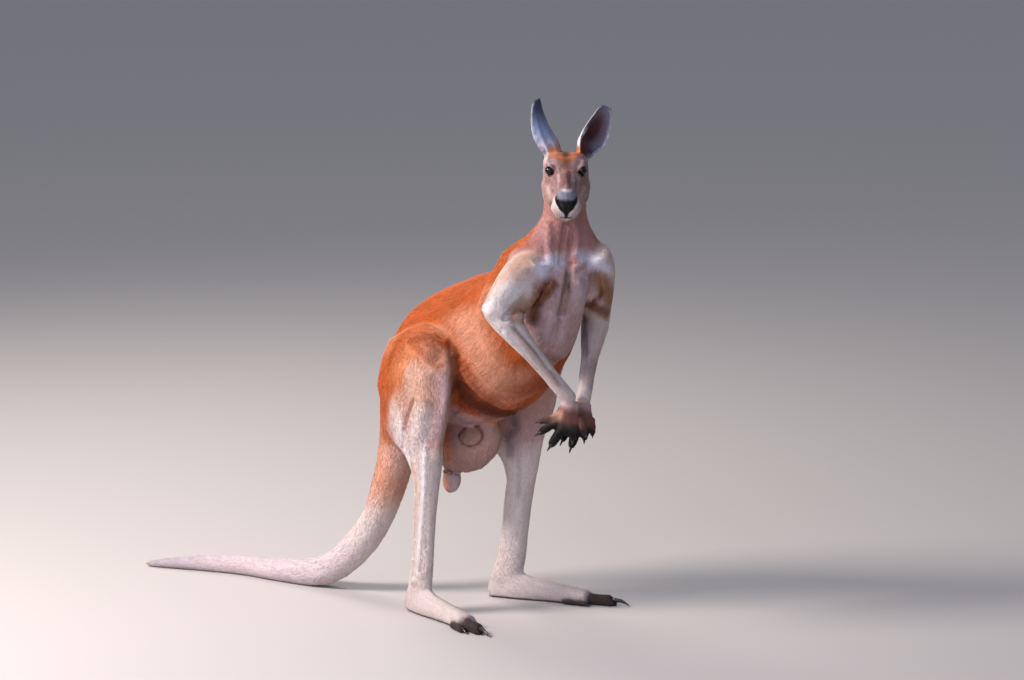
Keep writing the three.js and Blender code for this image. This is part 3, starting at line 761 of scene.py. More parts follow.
@dataclass
class Skin:
    """One skin in place of all the nodes of flesh.

    Attributes:
        origin: where the animal's own zero lies in the frame, in metres.
        voxel: the mesh's first spacing, in metres.
        swell: how much each solid is grown so that the thin cuts close, in metres.
        fairing: how far each point moves towards its neighbours when the skin is smoothed.
        fairing_rounds: how often it does.
        border_rounds: how softly one region's pelt changes to the next one's.
        plumper: how far the fingers are filled out, in millimetres.
        sole_clearance: how far the soles' hair lifts the skin off the floor, in millimetres.
        most_faces: the triangles that the finished skin may have.
        nodes: the nodes of flesh.
        piece: the skin's object.
        surface: its points and links.
        region: the place in ORDER of each point's region.
        side: 1 at the points of a left limb, -1 at those of a right one and 0 elsewhere.
    """

    frame: dict
    origin: np.ndarray
    voxel: float = 0.0025
    swell: float = 0.0006
    fairing: float = 0.6
    fairing_rounds: int = 110
    border_rounds: int = 12
    plumper: float = 2.0
    sole_clearance: float = 0.6
    most_faces: int = 188_000
    nodes: list[str] = field(init=False)
    piece: bpy.types.Object = field(init=False)
    surface: Surface = field(init=False)
    region: np.ndarray = field(init=False)
    side: np.ndarray = field(init=False)

    def __post_init__(self) -> None:
        """Finds the nodes of flesh."""
        self.nodes = sorted(name for name in self.frame["nodes"] if Region.of(name))

    def build(self) -> bpy.types.Object:
        """Makes the skin, from the solids to the finished mesh.

        Returns:
            The skin's object.
        """
        self.gather()
        self.refine_face()
        self.surface = surface = Surface(self.piece, self.origin)
        self.name_regions()
        self.fair()
        fingers = self.softly_on(5, Region.HAND)
        surface.points = surface.points + self.plumper * fingers[:, None] * surface.normals()
        for push in BODY_PUSHES + FACE_PUSHES:
            surface.points = push.moved(surface.points, surface.normals())
        for side in (1, -1):
            surface.points = LIDS.parted(surface.points, side)
        self.lay_under_coat()
        surface.write()
        return self.piece

    def gather(self) -> None:
        """Melts copies of the nodes of flesh, and balls under the lids, into one closed mesh."""
        copies = copies_of(self.frame, self.nodes, self.swell)
        for side in (1, -1):
            deselect()
            bpy.ops.mesh.primitive_uv_sphere_add(
                segments=32,
                ring_count=20,
                radius=(EYE_RADIUS + LIDS.thickness) * MM,
                location=HEAD.place(eye_middle(side)) * MM + self.origin,
            )
            copies.append(bpy.context.object)
        self.piece = joined(copies, "skin")
        apply_modifier(self.piece, "REMESH", mode="VOXEL", voxel_size=self.voxel, use_smooth_shade=True)
        log.info("skin: %d points after the remesh", len(self.piece.data.vertices))

    def refine_face(self) -> None:
        """Halves the mesh's spacing on the face, where the finest forms are."""
        mesh = self.piece.data
        ahead, above, side = HEAD.read((read_points(mesh) - self.origin) / MM).T
        face = (ahead > -14) & (ahead < 150) & (above > -110) & (above < 40) & (abs(side) < 70)
        loops = read_all(mesh.loops, "vertex_index")
        starts = read_all(mesh.polygons, "loop_start")
        inside = np.minimum.reduceat(face[loops].astype(int), starts).astype(bool)
        choose(self.piece)
        bpy.ops.object.mode_set(mode="EDIT")
        bpy.ops.mesh.select_mode(type="FACE")
        bpy.ops.mesh.select_all(action="DESELECT")
        bpy.ops.object.mode_set(mode="OBJECT")
        mesh.polygons.foreach_set("select", inside)
        bpy.ops.object.mode_set(mode="EDIT")
        bpy.ops.mesh.subdivide(number_cuts=1, smoothness=0.0)
        bpy.ops.object.mode_set(mode="OBJECT")

    def name_regions(self) -> None:
        """Finds for each point the region of the solid that it lies on."""
        corners, faces, owner, sides = [], [], [], []
        for name in self.nodes:
            mesh = self.frame["nodes"][name].data
            faces.append(read_triangles(mesh) + sum(map(len, corners)))
            corners.append(read_points(mesh))
            owner += [ORDER.index(Region.of(name))] * len(faces[-1])
            sides += [name.endswith("_left") - name.endswith("_right")] * len(faces[-1])
        tree = BVHTree.FromPolygons(np.concatenate(corners).tolist(), np.concatenate(faces).tolist())
        places = (self.surface.points * MM + self.origin).tolist()
        nearest = np.array([tree.find_nearest(place)[2] for place in places])
        self.region = np.array(owner)[nearest]
        self.side = np.array(sides)[nearest]
        log.info("skin: regions named")

    def on(self, *regions: Region, side: int | None = None) -> np.ndarray:
        """True at the points on these regions, of one side alone where that is given."""
        here = np.isin(self.region, [ORDER.index(region) for region in regions])
        return here if side is None else here & (self.side == side)

    def softly_on(self, rounds: int, *regions: Region) -> np.ndarray:
        """1 on these regions and 0 elsewhere, spread over the border by some rounds."""
        return self.surface.soften(self.on(*regions).astype(float), rounds)

    def pelt(self, name: str) -> np.ndarray:
        """One of the pelt's measures at each point, with a soft change between regions."""
        hard = np.array([getattr(PELTS[r], name) for r in ORDER])[self.region]
        return self.surface.soften(hard, self.border_rounds)

    def fair(self) -> None:
        """Smooths the solids' facets away and gives back what that takes off the form."""
        surface = self.surface
        before = surface.points
        surface.points = surface.soften(before, self.fairing_rounds, self.fairing * self.pelt("fairing"))
        normals = surface.normals()
        lost = np.einsum("ij,ij->i", before - surface.points, normals)
        surface.points = surface.points + surface.soften(lost, self.fairing_rounds)[:, None] * normals

    def lay_under_coat(self) -> None:
        """Draws the skin in by the depth of the coat, and sets the soles flat."""
        inward = self.pelt("depth") + self.swell / MM
        self.surface.points = self.surface.points - inward[:, None] * self.surface.normals()
        self.surface.points[:, 2] = np.maximum(self.surface.points[:, 2], self.sole_clearance)

    def thin(self) -> None:
        """Drops the points that the form does not need, and keeps those of the face, hands and ears."""
        group = self.piece.vertex_groups.new(name="kept")
        keep = np.round(self.pelt("keep"), 1)
        for level in np.unique(keep[keep > 0]):
            group.add(np.flatnonzero(keep == level).tolist(), float(level), "REPLACE")
        settings = {"vertex_group": "kept", "invert_vertex_group": True, "vertex_group_factor": 0.002}
        share = self.most_faces / len(read_triangles(self.piece.data))
        if share < 1:
            apply_modifier(self.piece, "DECIMATE", ratio=share, **settings)
        self.piece.vertex_groups.clear()
        log.info("skin: %d triangles", len(self.piece.data.polygons))


# ---- markings ----
@dataclass(frozen=True)
class Dab(Stroke):
    """A soft mark of colour.

    Attributes:
        hue: its colour.
        strength: how much of it shows at its middle.
        edge: the share of its reach over which it fades out.
    """

    hue: Hue
    strength: float = 1.0
    edge: float = 0.8

    def share(self, points: np.ndarray) -> np.ndarray:
        """How much of the mark shows at each point, from 0 to strength."""
        near, away = self.felt(points)
        ragged = away + 0.12 * self.reach * noise(points[near], 0.6 * self.reach + 2, 5)
        share = np.zeros(len(points))
        share[near] = self.strength * smoothstep((self.reach - ragged) / (self.edge * self.reach))
        return share


TRUNK_DABS: tuple[Dab, ...] = (
    # deep orange along the spine, the darker flank with painted shade in the hollow before the thigh and
    # under the belly, and the swirl of hair over the flank's fold
    Dab(((-70, 120, 740), (-60, 40, 830), (-40, -50, 875), (-60, -160, 910)), 90, Hue.RUST, 0.6),
    Dab(((-150, -80, 790), (-152, -150, 820), (-149, -200, 862)), 66, Hue.APRICOT, 0.6),
    Dab(((-134, -146, 771), (-137, -181, 723), (-122, -212, 648), (-88, -262, 628)), 84, Hue.APRICOT, 0.95),
    # painted shade: dark rust in the hollow before the right thigh
    Dab(((-172, -104, 745), (-160, -108, 710), (-142, -100, 655), (-124, -90, 600), (-104, -72, 545)),
        22, Hue.DARK_RUST, 0.9),
    Dab(((-142, -118, 700), (-138, -146, 650), (-119, -172, 610), (-88, -196, 582)),
        18, Hue.DEEP_RUST, 0.8),
    # painted shade: dark rust under the belly
    Dab(((-128, -100, 615), (-100, -140, 565), (-60, -170, 545), (0, -190, 535), (60, -190, 535)),
        46, Hue.DARK_RUST, 0.95),
    Dab(((-141, -126, 672), (-135, -148, 638), (-114, -178, 602), (-76, -212, 580), (-35, -249, 588),
        (-6, -283, 614)), 7, Hue.APRICOT, 0.6),
    Dab(((-137, -104, 646), (-127, -122, 609), (-105, -152, 576), (-64, -190, 552), (-18, -223, 558),
        (6, -265, 594)), 7, Hue.UMBER, 0.5),
    Dab(((-115, -106, 580), (-76, -131, 541), (-30, -142, 522)), 7, Hue.DEEP_RUST, 0.7),
    Dab(FLANK_FOLD, 6, Hue.DARK_RUST, 0.4),
    Dab(((-136, -176, 700), (-122, -212, 655), (-92, -246, 622)), 6, Hue.APRICOT, 0.6),
    # painted shade under the belly and along its crease into the groin
    Dab(((30, -210, 556), (-5, -190, 530), (-40, -160, 520)), 18, Hue.UMBER, 0.5),
    Dab(((-60, -260, 620), (-20, -300, 640), (30, -300, 660)), 60, Hue.DEEP_RUST, 0.7),
    Dab(((-88, -62, 520), (-60, -86, 505), (-6, -150, 515), (30, -190, 545)), 20, Hue.TAUPE, 0.7),
    Dab(((-90, -350, 712), (-60, -365, 705), (-20, -360, 695)), 26, Hue.BROWN, 0.75),
    # chest: ochre and chestnut painted shade in the creases beside the arms, a dark line on the breastbone
    # and white patches beside the neck
    Dab(((-146, -364, 905), (-142, -352, 870), (-130, -338, 822)), 20, Hue.OCHRE, 0.8),
    Dab(((-110, -388, 915), (-128, -372, 890), (-130, -356, 856), (-120, -340, 820)),
        30, Hue.CHESTNUT, 0.9),
    Dab(((24, -440, 900), (46, -428, 868), (64, -406, 832)), 20, Hue.OCHRE, 0.8),
    Dab(((-60, -408, 935), (-72, -414, 905), (-77, -412, 870), (-80, -408, 840)), 24, Hue.TAUPE, 0.75),
    Dab(((-58, -410, 944), (-69, -414, 920), (-77, -413, 890), (-79, -411, 859), (-80, -408, 836)),
        15, Hue.UMBER),
    Dab(((-86, -404, 830), (-80, -404, 785)), 7, Hue.BROWN, 0.5),
    Dab(((-118, -364, 952), (-88, -372, 966), (-64, -386, 970)), 36, Hue.FROST, 0.95, 0.9),
    Dab(((-12, -412, 974), (10, -424, 970), (18, -440, 958)), 34, Hue.FROST, 0.95, 0.9),
    Dab(((20, -446, 942), (50, -452, 926)), 36, Hue.FROST, 1.0, 0.9),
    Dab(((-104, -385, 905), (-110, -380, 880)), 20, Hue.ROSE, 0.5),
    Dab(((-40, -428, 900), (-32, -428, 860)), 30, Hue.LILAC, 0.45),
    # neck: a reddish streak down the throat, a paler side and the orange nape
    Dab(((-85, -350, 985), (-72, -345, 1015), (-62, -337, 1055)), 26, Hue.MAUVE, 0.2),
    Dab(THROAT, 14, Hue.BROWN, 0.5),
    Dab(THROAT, 8, Hue.DEEP_RUST, 0.55),
    Dab(((-23, -380, 1062), (-26, -382, 1029), (-30, -385, 1001)), 9, Hue.MAROON, 0.3),
    Dab(((-27, -405, 974), (-40, -404, 966)), 13, Hue.RED_SKIN, 0.7),
    Dab(((-4, -396, 1050), (8, -404, 1010), (10, -415, 985)), 34, Hue.MAUVE, 0.25, 1.0),
    # shoulder, upper arm and elbow: pale hair lightened as painted light on the lit outer side, and painted
    # shade under the arms, in the elbow's crease and on the forearms
    Dab(((-120, -320, 975), (-150, -326, 965), (-190, -312, 930), (-225, -296, 890)), 46, Hue.TAN, 0.65),
    # the arm's pale hair, lightened further as painted light on its lit side
    Dab(((-165, -352, 915), (-205, -340, 895)), 34, Hue.IVORY, 0.7),
    # painted shade under the right upper arm and in its armpit
    Dab(((-122, -376, 895), (-140, -360, 876), (-165, -348, 858), (-205, -348, 842)),
        29, Hue.OCHRE, 0.9, 0.9),
    Dab(((-108, -386, 908), (-122, -376, 892), (-126, -360, 870), (-132, -346, 850), (-160, -340, 834),
        (-200, -352, 828)), 21, Hue.CHESTNUT, 0.95),
    # painted shade in the right elbow's crease and on the chest under the arm
    Dab(((-240, -343, 836), (-218, -350, 832), (-200, -354, 826)), 12, Hue.CHESTNUT, 0.8),
    Dab(((-120, -345, 850), (-118, -335, 820), (-125, -315, 790)), 22, Hue.CHESTNUT, 0.55, 1.0),
    Dab(((-244, -338, 834), (-232, -345, 830)), 9, Hue.BROWN, 0.7),
    # painted shade under the left upper arm and in its armpit
    Dab(((40, -440, 905), (66, -438, 880), (107, -424, 858), (130, -392, 832)), 40, Hue.TAUPE, 0.85),
    Dab(((20, -442, 925), (56, -440, 890), (84, -432, 866), (114, -418, 846)), 34, Hue.OCHRE, 0.75),
    Dab(((4, -438, 928), (30, -436, 900), (60, -428, 868), (70, -384, 832)), 13, Hue.CHESTNUT),
    Dab(((60, -386, 835), (89, -399, 820), (128, -392, 806)), 28, Hue.CHESTNUT, 0.9),
    # painted shade on the left forearm
    Dab(((96, -384, 800), (80, -384, 760), (50, -396, 710), (20, -410, 670)), 40, Hue.TAUPE, 0.3),
    Dab(((98, -345, 790), (64, -367, 745), (43, -388, 712)), 18, Hue.DUSK, 0.6),
    # painted shade along the forearms' grooves
    Dab(((-228, -352, 812), (-200, -366, 782), (-168, -386, 742), (-145, -407, 701), (-125, -426, 656)),
        8, Hue.GREY, 0.7),
    Dab(LEFT_FOREARM, 12, Hue.GREY, 0.5),
    Dab(((117, -397, 762), (81, -407, 716), (37, -423, 671)), 12, Hue.TAN, 0.4),
    # painted shade on the right forearm
    Dab(((-200, -372, 775), (-165, -400, 720), (-125, -430, 650), (-105, -440, 615)), 26, Hue.TAUPE, 0.3),
    Dab(((40, -420, 690), (0, -436, 640)), 30, Hue.TAUPE, 0.5),
    # pale hair, lightened further as painted light on the upper arm's and elbow's lit outer side
    Dab(((-213, -330, 906), (-241, -322, 883), (-256, -300, 850), (-236, -322, 800), (-200, -342, 745)),
        46, Hue.IVORY, 0.95),
    Dab(((-225, -350, 815), (-195, -368, 768), (-160, -390, 715), (-130, -420, 660)), 12, Hue.OCHRE, 0.3),
    Dab(((-196, -345, 760), (-170, -378, 705), (-130, -420, 640)), 9, Hue.TAN, 0.5),
    Dab(((-118, -420, 580), (-124, -410, 560), (-134, -398, 552)), 20, Hue.TAN, 0.7),
    # the groin's shaded side, and the round patch with its dark outline
    Dab(((-42, -2, 430), (-46, -2, 400), (-44, 0, 370)), 20, Hue.ORANGE, 0.8),
    Dab(((40, -90, 440), (60, -70, 400)), 40, Hue.TAUPE, 0.4),
    Dab(((-30, -60, 430), (-20, -100, 440), (0, -130, 480)), 70, Hue.PEACH, 0.45, 1.0),
    Dab(((-57, -86, 472),), 27, Hue.TAUPE, 0.8),
    Dab(((-44, -42, 470), (-43, -56, 486), (-36, -74, 496), (-28, -96, 494), (-27, -110, 476),
        (-33, -108, 458), (-48, -94, 445), (-52, -64, 445), (-46, -48, 455), (-44, -42, 470)),
        8, Hue.CHESTNUT, 0.9),
    Dab(((-48, -6, 480), (-49, -6, 450), (-50, -8, 425)), 16, Hue.ORANGE, 0.8),
    Dab(((-14, 34, 345), (-14, 30, 318)), 26, Hue.APRICOT, 0.8),
    Dab(((-6, 6, 345), (-5, 2, 308)), 20, Hue.LILAC, 0.8),
    # tail: orange at its root
    Dab(((0, 190, 430), (-14, 200, 370), (-22, 216, 300)), 125, Hue.PEACH, 0.9, 1.0),
    Dab(((0, 190, 430), (-14, 200, 370), (-18, 210, 320)), 110, Hue.ORANGE, 0.9, 1.0),
    Dab(((0, 230, 440), (-14, 250, 350), (-20, 272, 260)), 60, Hue.RUST, 0.7, 0.9),
)
LEG_DABS: tuple[Dab, ...] = (
    # rump and the back of the thigh, the saddle over the hip, the pale knee and painted shade in the groove
    # before the hamstring
    *Dab.on_legs(((-110, -95, 40), (-40, -130, 55), (40, -165, 50), (110, -200, 35)),
        78, Hue.RUST, 1.0, 0.9),
    *Dab.on_legs(((-90, -60, 50), (-20, -80, 60), (50, -120, 60)), 60, Hue.ORANGE, 0.85, 0.9),
    *Dab.on_legs(((-96, -66, 50), (-108, -30, 40), (-98, 8, 14)), 46, Hue.DEEP_RUST, 0.8, 0.9),
    *Dab.on_legs(((-60, -30, 52), (-50, 4, 40), (-40, 24, 20)), 34, Hue.DEEP_RUST, 0.55, 0.9),
    *Dab.on_legs(((0, -34, 58), (60, -26, 56), (120, -20, 54)), 54, Hue.PEACH, 0.85),
    *Dab.on_legs(((-75, 34, 0), (-30, 44, -12), (30, 46, -16), (80, 46, -10)), 12, Hue.DARK_RUST, 0.5),
    *Dab.on_legs(((-10, 34, 10), (20, 38, 0), (80, 36, 4), (150, 30, 6)), 32, Hue.MAUVE, 0.85),
    *Dab.on_legs(((110, -96, 58), (170, -104, 45)), 36, Hue.CREAM, 0.6),
    *Dab.on_legs(((110, -4, 40), (160, -20, 45), (220, -30, 42)), 54, Hue.CREAM, 0.85),
    # painted shade in the groove before the hamstring
    *Dab.on_legs(((72, -30, 56), (113, -46, 57), (144, -58, 57), (177, -67, 53)), 6, Hue.DEEP_RUST, 0.6),
    *Dab.on_legs(((-112, -104, 36), (-122, -70, 24), (-122, -34, 12), (-112, -4, 2), (-96, 20, -8)),
        26, Hue.RUST),
    # painted shade in the groove across the thigh's top
    *Dab.on_legs(((-128, -74, 10), (-128, -34, 2), (-118, 2, -10), (-90, 34, -20)), 11, Hue.DARK_RUST, 0.8),
    # painted highlight on the calf's outer rear edge
    *Dab.on_legs(((140, -84, 52), (190, -78, 44), (240, -50, 40)), 16, Hue.WHITE, 0.8),
    *Dab.on_legs(((20, -180, 62), (90, -180, 56), (150, -180, 35)), 58, Hue.RUST, 0.95, 0.9),
    *Dab.on_legs(((90, -96, 58), (130, -108, 54)), 32, Hue.PEACH, 0.6),
    *Dab.on_legs(((60, -140, 62), (90, -150, 60), (120, -164, 52)), 42, Hue.RUST, 0.7, 0.9),
    *Dab.on_legs(((30, -84, 68), (44, -110, 66), (60, -130, 64)), 34, Hue.RUST, 0.6, 1.0),
    *Dab.on_legs(((130, -98, 56), (200, -104, 46)), 34, Hue.IVORY, 0.7, 1.0),
    # painted light on the left shank, which the lamps leave in shade
    Dab(((150, -104, 400), (132, -87, 270), (138, -80, 150)), 42, Hue.IVORY, 0.8),
    # painted shade, with a darker line in its groove, on the inside of the left leg below the belly
    Dab(((36, -125, 520), (109, -110, 503), (119, -112, 478), (108, -90, 455), (117, -92, 425),
        (122, -84, 400)), 24, Hue.DUSK, 0.6),
    Dab(((109, -122, 500), (112, -104, 470), (109, -88, 440)), 9, Hue.UMBER, 0.6),
    # the shin: painted shade in the grooves by the tendon and the bone, and a painted highlight on the bone's
    # ridge
    *Dab.on_legs(((215, -44, 40), (300, -26, 26), (400, -24, 22), (500, -26, 20)), 7, Hue.TAN, 0.85),
    *Dab.on_legs(SHIN_GROOVE, 7, Hue.TAN, 0.7),
    *Dab.on_legs(((200, 6, 30), (300, 8, 26), (430, 6, 24), (530, 6, 22)), 13, Hue.WHITE, 0.6),
    *Dab.on_legs(((40, 10, -56), (120, 0, -56), (200, -10, -45)), 52, Hue.MAUVE, 0.3),
    *Dab.on_legs(((140, -30, -50), (240, -20, -36), (330, -6, -28)), 12, Hue.GREY, 0.3),
)
FACE_DABS: tuple[Dab, ...] = (
    # forehead: orange with a dark rust spot at its top; pale streaks below the eyes
    *Dab.on_head(((-70, 20, 30), (-44, 30, 34), (-24, 36, 18), (-6, 36, 6)), 20, Hue.ORANGE, 0.95),
    *Dab.on_head(((-36, 34, 34), (-28, 36, 10)), 9, Hue.RUST, 0.7),
    *Dab.on_head(((14, 32, 10), (30, 26, 8)), 15, Hue.TAUPE, 0.6),
    *Dab.on_head(((-76, 18, 0), (-44, 34, 0), (-24, 37, 0)), 17, Hue.DARK_RUST),
    *Dab.on_head(((-110, 0, 0), (-96, -20, 30), (-90, 10, 20)), 44, Hue.RUST, 0.85, 0.9),
    *Dab.on_head(((-80, 4, 0), (-108, -24, 0), (-122, -64, 0), (-134, -104, 0)), 52, Hue.RUST, 0.95),
    *Dab.on_head(((0, 35, 4), (20, 31, 0)), 18, Hue.CHESTNUT, 0.6, 1.0),
    *Dab.on_head(((40, 22, -4), (64, 14, 4), (84, 10, 10)), 10, Hue.BROWN, 0.35),
    *Dab.on_head(((-6, 34, 40), (10, 30, 46)), 13, Hue.LILAC, 0.6),
    *Dab.on_head(((-70, -2, 50), (-40, 10, 52)), 22, Hue.CREAM, 0.6),
    *Dab.on_head(((46, 18, 6), (80, 12, 4)), 12, Hue.BROWN, 0.6),
    # painted highlight and painted shade along the bridge's flat sides
    *Dab.on_head(((40, 12, 20), (60, 8, 18)), 8, Hue.PALE, 0.6),
    *Dab.on_head(((40, 6, 26), (62, 0, 28), (88, -8, 28)), 7, Hue.DUSK, 0.7),
    *Dab.on_head(((24, -12, 48), (46, -14, 42), (62, -20, 40)), 15, Hue.BROWN, 0.5, 1.0),
    *Dab.on_head(((44, -22, 44), (66, -32, 41), (84, -44, 40)), 15, Hue.CREAM, 0.4, 1.0),
    *Dab.on_head(((-6, -40, 60), (16, -62, 56), (40, -80, 44)), 11, Hue.FROST, 0.6, 1.0),
    *Dab.on_head(((20, -40, 54), (40, -56, 48)), 18, Hue.TAUPE, 0.6),
    *Dab.on_head(((-20, -60, 55), (20, -84, 44)), 24, Hue.PEACH, 0.5),
    *Dab.on_head(((30, -2, 44), (50, -6, 38)), 8, Hue.CHESTNUT, 0.4),
)


@dataclass(frozen=True)
class Course:
    """The line that a stretch of the body follows.

    Attributes:
        spots: the line, from its front end to its rear one, in millimetres.
        back: which way its back faces.
    """

    spots: Line
    back: Spot

    def nearest(self, points: np.ndarray) -> tuple[np.ndarray, np.ndarray, np.ndarray]:
        """For each point its share of the course, its offset from the line and the line's direction."""
        line = rows(*self.spots)
        ways = np.diff(line, axis=0)
        lengths = np.linalg.norm(ways, axis=1)
        starts = np.concatenate([[0], np.cumsum(lengths)])
        best = np.full(len(points), np.inf)
        along = np.zeros(len(points))
        offset = np.zeros_like(points)
        heading = np.zeros_like(points)
        for start, way, length, first in zip(line, ways, lengths, starts):
            t = np.clip((points - start) @ way / length**2, 0, 1)
            away = points - start - t[:, None] * way
            reach = np.linalg.norm(away, axis=1)
            closer = reach < best
            best[closer] = reach[closer]
            along[closer] = (first + t * length)[closer] / starts[-1]
            offset[closer] = away[closer]
            heading[closer] = way / length
        return along, offset, heading

    def backs(self, heading: np.ndarray) -> np.ndarray:
        """Which way the back faces where the line has these directions."""
        back = np.array(self.back)
        return unit(back - (heading @ back)[:, None] * heading)

    def read(self, points: np.ndarray) -> tuple[np.ndarray, np.ndarray]:
        """For each point its share of the course and how far it is turned from the back, in degrees."""
        along, offset, heading = self.nearest(points)
        back = self.backs(heading)
        height = np.einsum("ij,ij->i", offset, back)
        aside = np.linalg.norm(offset - height[:, None] * back, axis=1)
        return along, np.degrees(np.arctan2(aside, height))

    def rolled(self, points: np.ndarray) -> tuple[np.ndarray, np.ndarray]:
        """For each point its share of the course and its signed turn from the back, in radians."""
        along, offset, heading = self.nearest(points)
        back = self.backs(heading)
        beside = np.cross(heading, back)
        return along, np.arctan2(np.einsum("ij,ij->i", offset, beside), np.einsum("ij,ij->i", offset, back))


TRUNK = Course(
    (
        (2, -346, 1172), (17, -340, 1096), (4, -326, 1018), (-4, -314, 982), (-12, -298, 900),
        (2, -188, 758), (6, -68, 686), (4, 44, 630), (0, 150, 533), (-8, 184, 423),
    ),
    (0.25, 0.75, 0.65),
)
TAIL = Course(
    (
        (-8, 184, 423), (-22, 216, 280), (-38, 304, 122), (-50, 480, 31), (-54, 581, 27),
        (-52, 678, 24), (-96, 849, 17), (-130, 964, 6),
    ),
    (0.0, 0.5, 0.85),
)
HEAD_COURSE = Course(as_line(HEAD.place([(130, -30, 0), (0, -28, 0), (-110, -30, 0)])), (0, 0, 1))
LEG_COURSES = {
    leg.side: Course(
        as_line(leg.place([(-140, -60, -30), (0, -70, 0), (180, -30, 0), (560, 0, 0), (590, 200, 0)])),
        (0.0, 1.0, 0.0),
    )
    for leg in LEGS
}
ARM_COURSES = {
    -1: Course(((-112, -316, 938), (-222, -300, 851), (-85, -436, 609), (-120, -425, 460)), (0, 0, 1)),
    1: Course(((61, -403, 942), (150, -345, 790), (-31, -434, 598), (-50, -425, 460)), (0, 0, 1)),
}
# share of the trunk's course, and the degrees from the back where the red ends
RED_BORDER = (
    (0, 40), (0.1, 56), (0.15, 72), (0.2, 86), (0.24, 80), (0.33, 84), (0.37, 100), (0.39, 128),
    (0.41, 158), (0.44, 190), (0.58, 190), (0.62, 176), (0.68, 160), (0.75, 140), (1, 120),
)
# up from the eyes, and half the nose pad's width there
NOSE_OUTLINE = ((-52, 2), (-46, 5), (-42, 9), (-34, 18), (-22, 27), (-12, 31), (-2, 28), (6, 18))
# up from the eyes, and half the width of the bare groove under the nose
PHILTRUM = ((-64, 6.0), (-58, 4.5), (-50, 5.5), (-44, 9.0))
# from the corner of the mouth to its middle, ahead, up and out; and its half width by the way out
MOUTH = ((72, -60, 36), (90, -58, 31), (106, -62, 23), (118, -63, 13), (126, -61, 0))
MOUTH_WIDTH = ((0, 6.0), (9, 5.5), (14, 3.4), (24, 2.6), (40, 2.0))
# share of the ear's length, and half its width there in parts of 34 mm
EAR_WIDTH = 34.0
EAR_OUTLINE = (
    (0, 0.65), (0.12, 0.79), (0.28, 1.0), (0.45, 1.09), (0.62, 1.03), (0.78, 0.85), (0.91, 0.65), (1, 0.27),
)
# side, wrist and the fingers' tips
PAWS = ((-1, (-85, -436, 609), (-125, -420, 470)), (1, (-31, -434, 598), (-50, -430, 470)))


@dataclass(frozen=True)
class Ear:
    """An ear's root, tip and the way that its hollow faces.

    Attributes:
        side: 1 for the left ear and -1 for the right.
        root: given ahead, up and left of the eyes' middle.
        tip: likewise.
        opens: the way that the hollow faces, on the animal's axes.
    """

    side: int
    root: Spot
    tip: Spot
    opens: Spot

    def read(self, points: np.ndarray) -> tuple[np.ndarray, np.ndarray]:
        """For each point its share of the ear's length, and its place across from -1 to 1."""
        root, tip = HEAD.place(self.root), HEAD.place(self.tip)
        way = tip - root
        across = np.cross(unit(way), unit(np.array(self.opens)))
        return (points - root) @ way / (way @ way), (points - root) @ unit(across) / EAR_WIDTH


EARS = (
    Ear(-1, (-66, 0, -38), (-132, 138, -68), (-0.18, 0.98, 0.0)),
    Ear(1, (-66, 2, 45), (-98, 138, 103), (-0.6, -0.72, 0.1)),
)


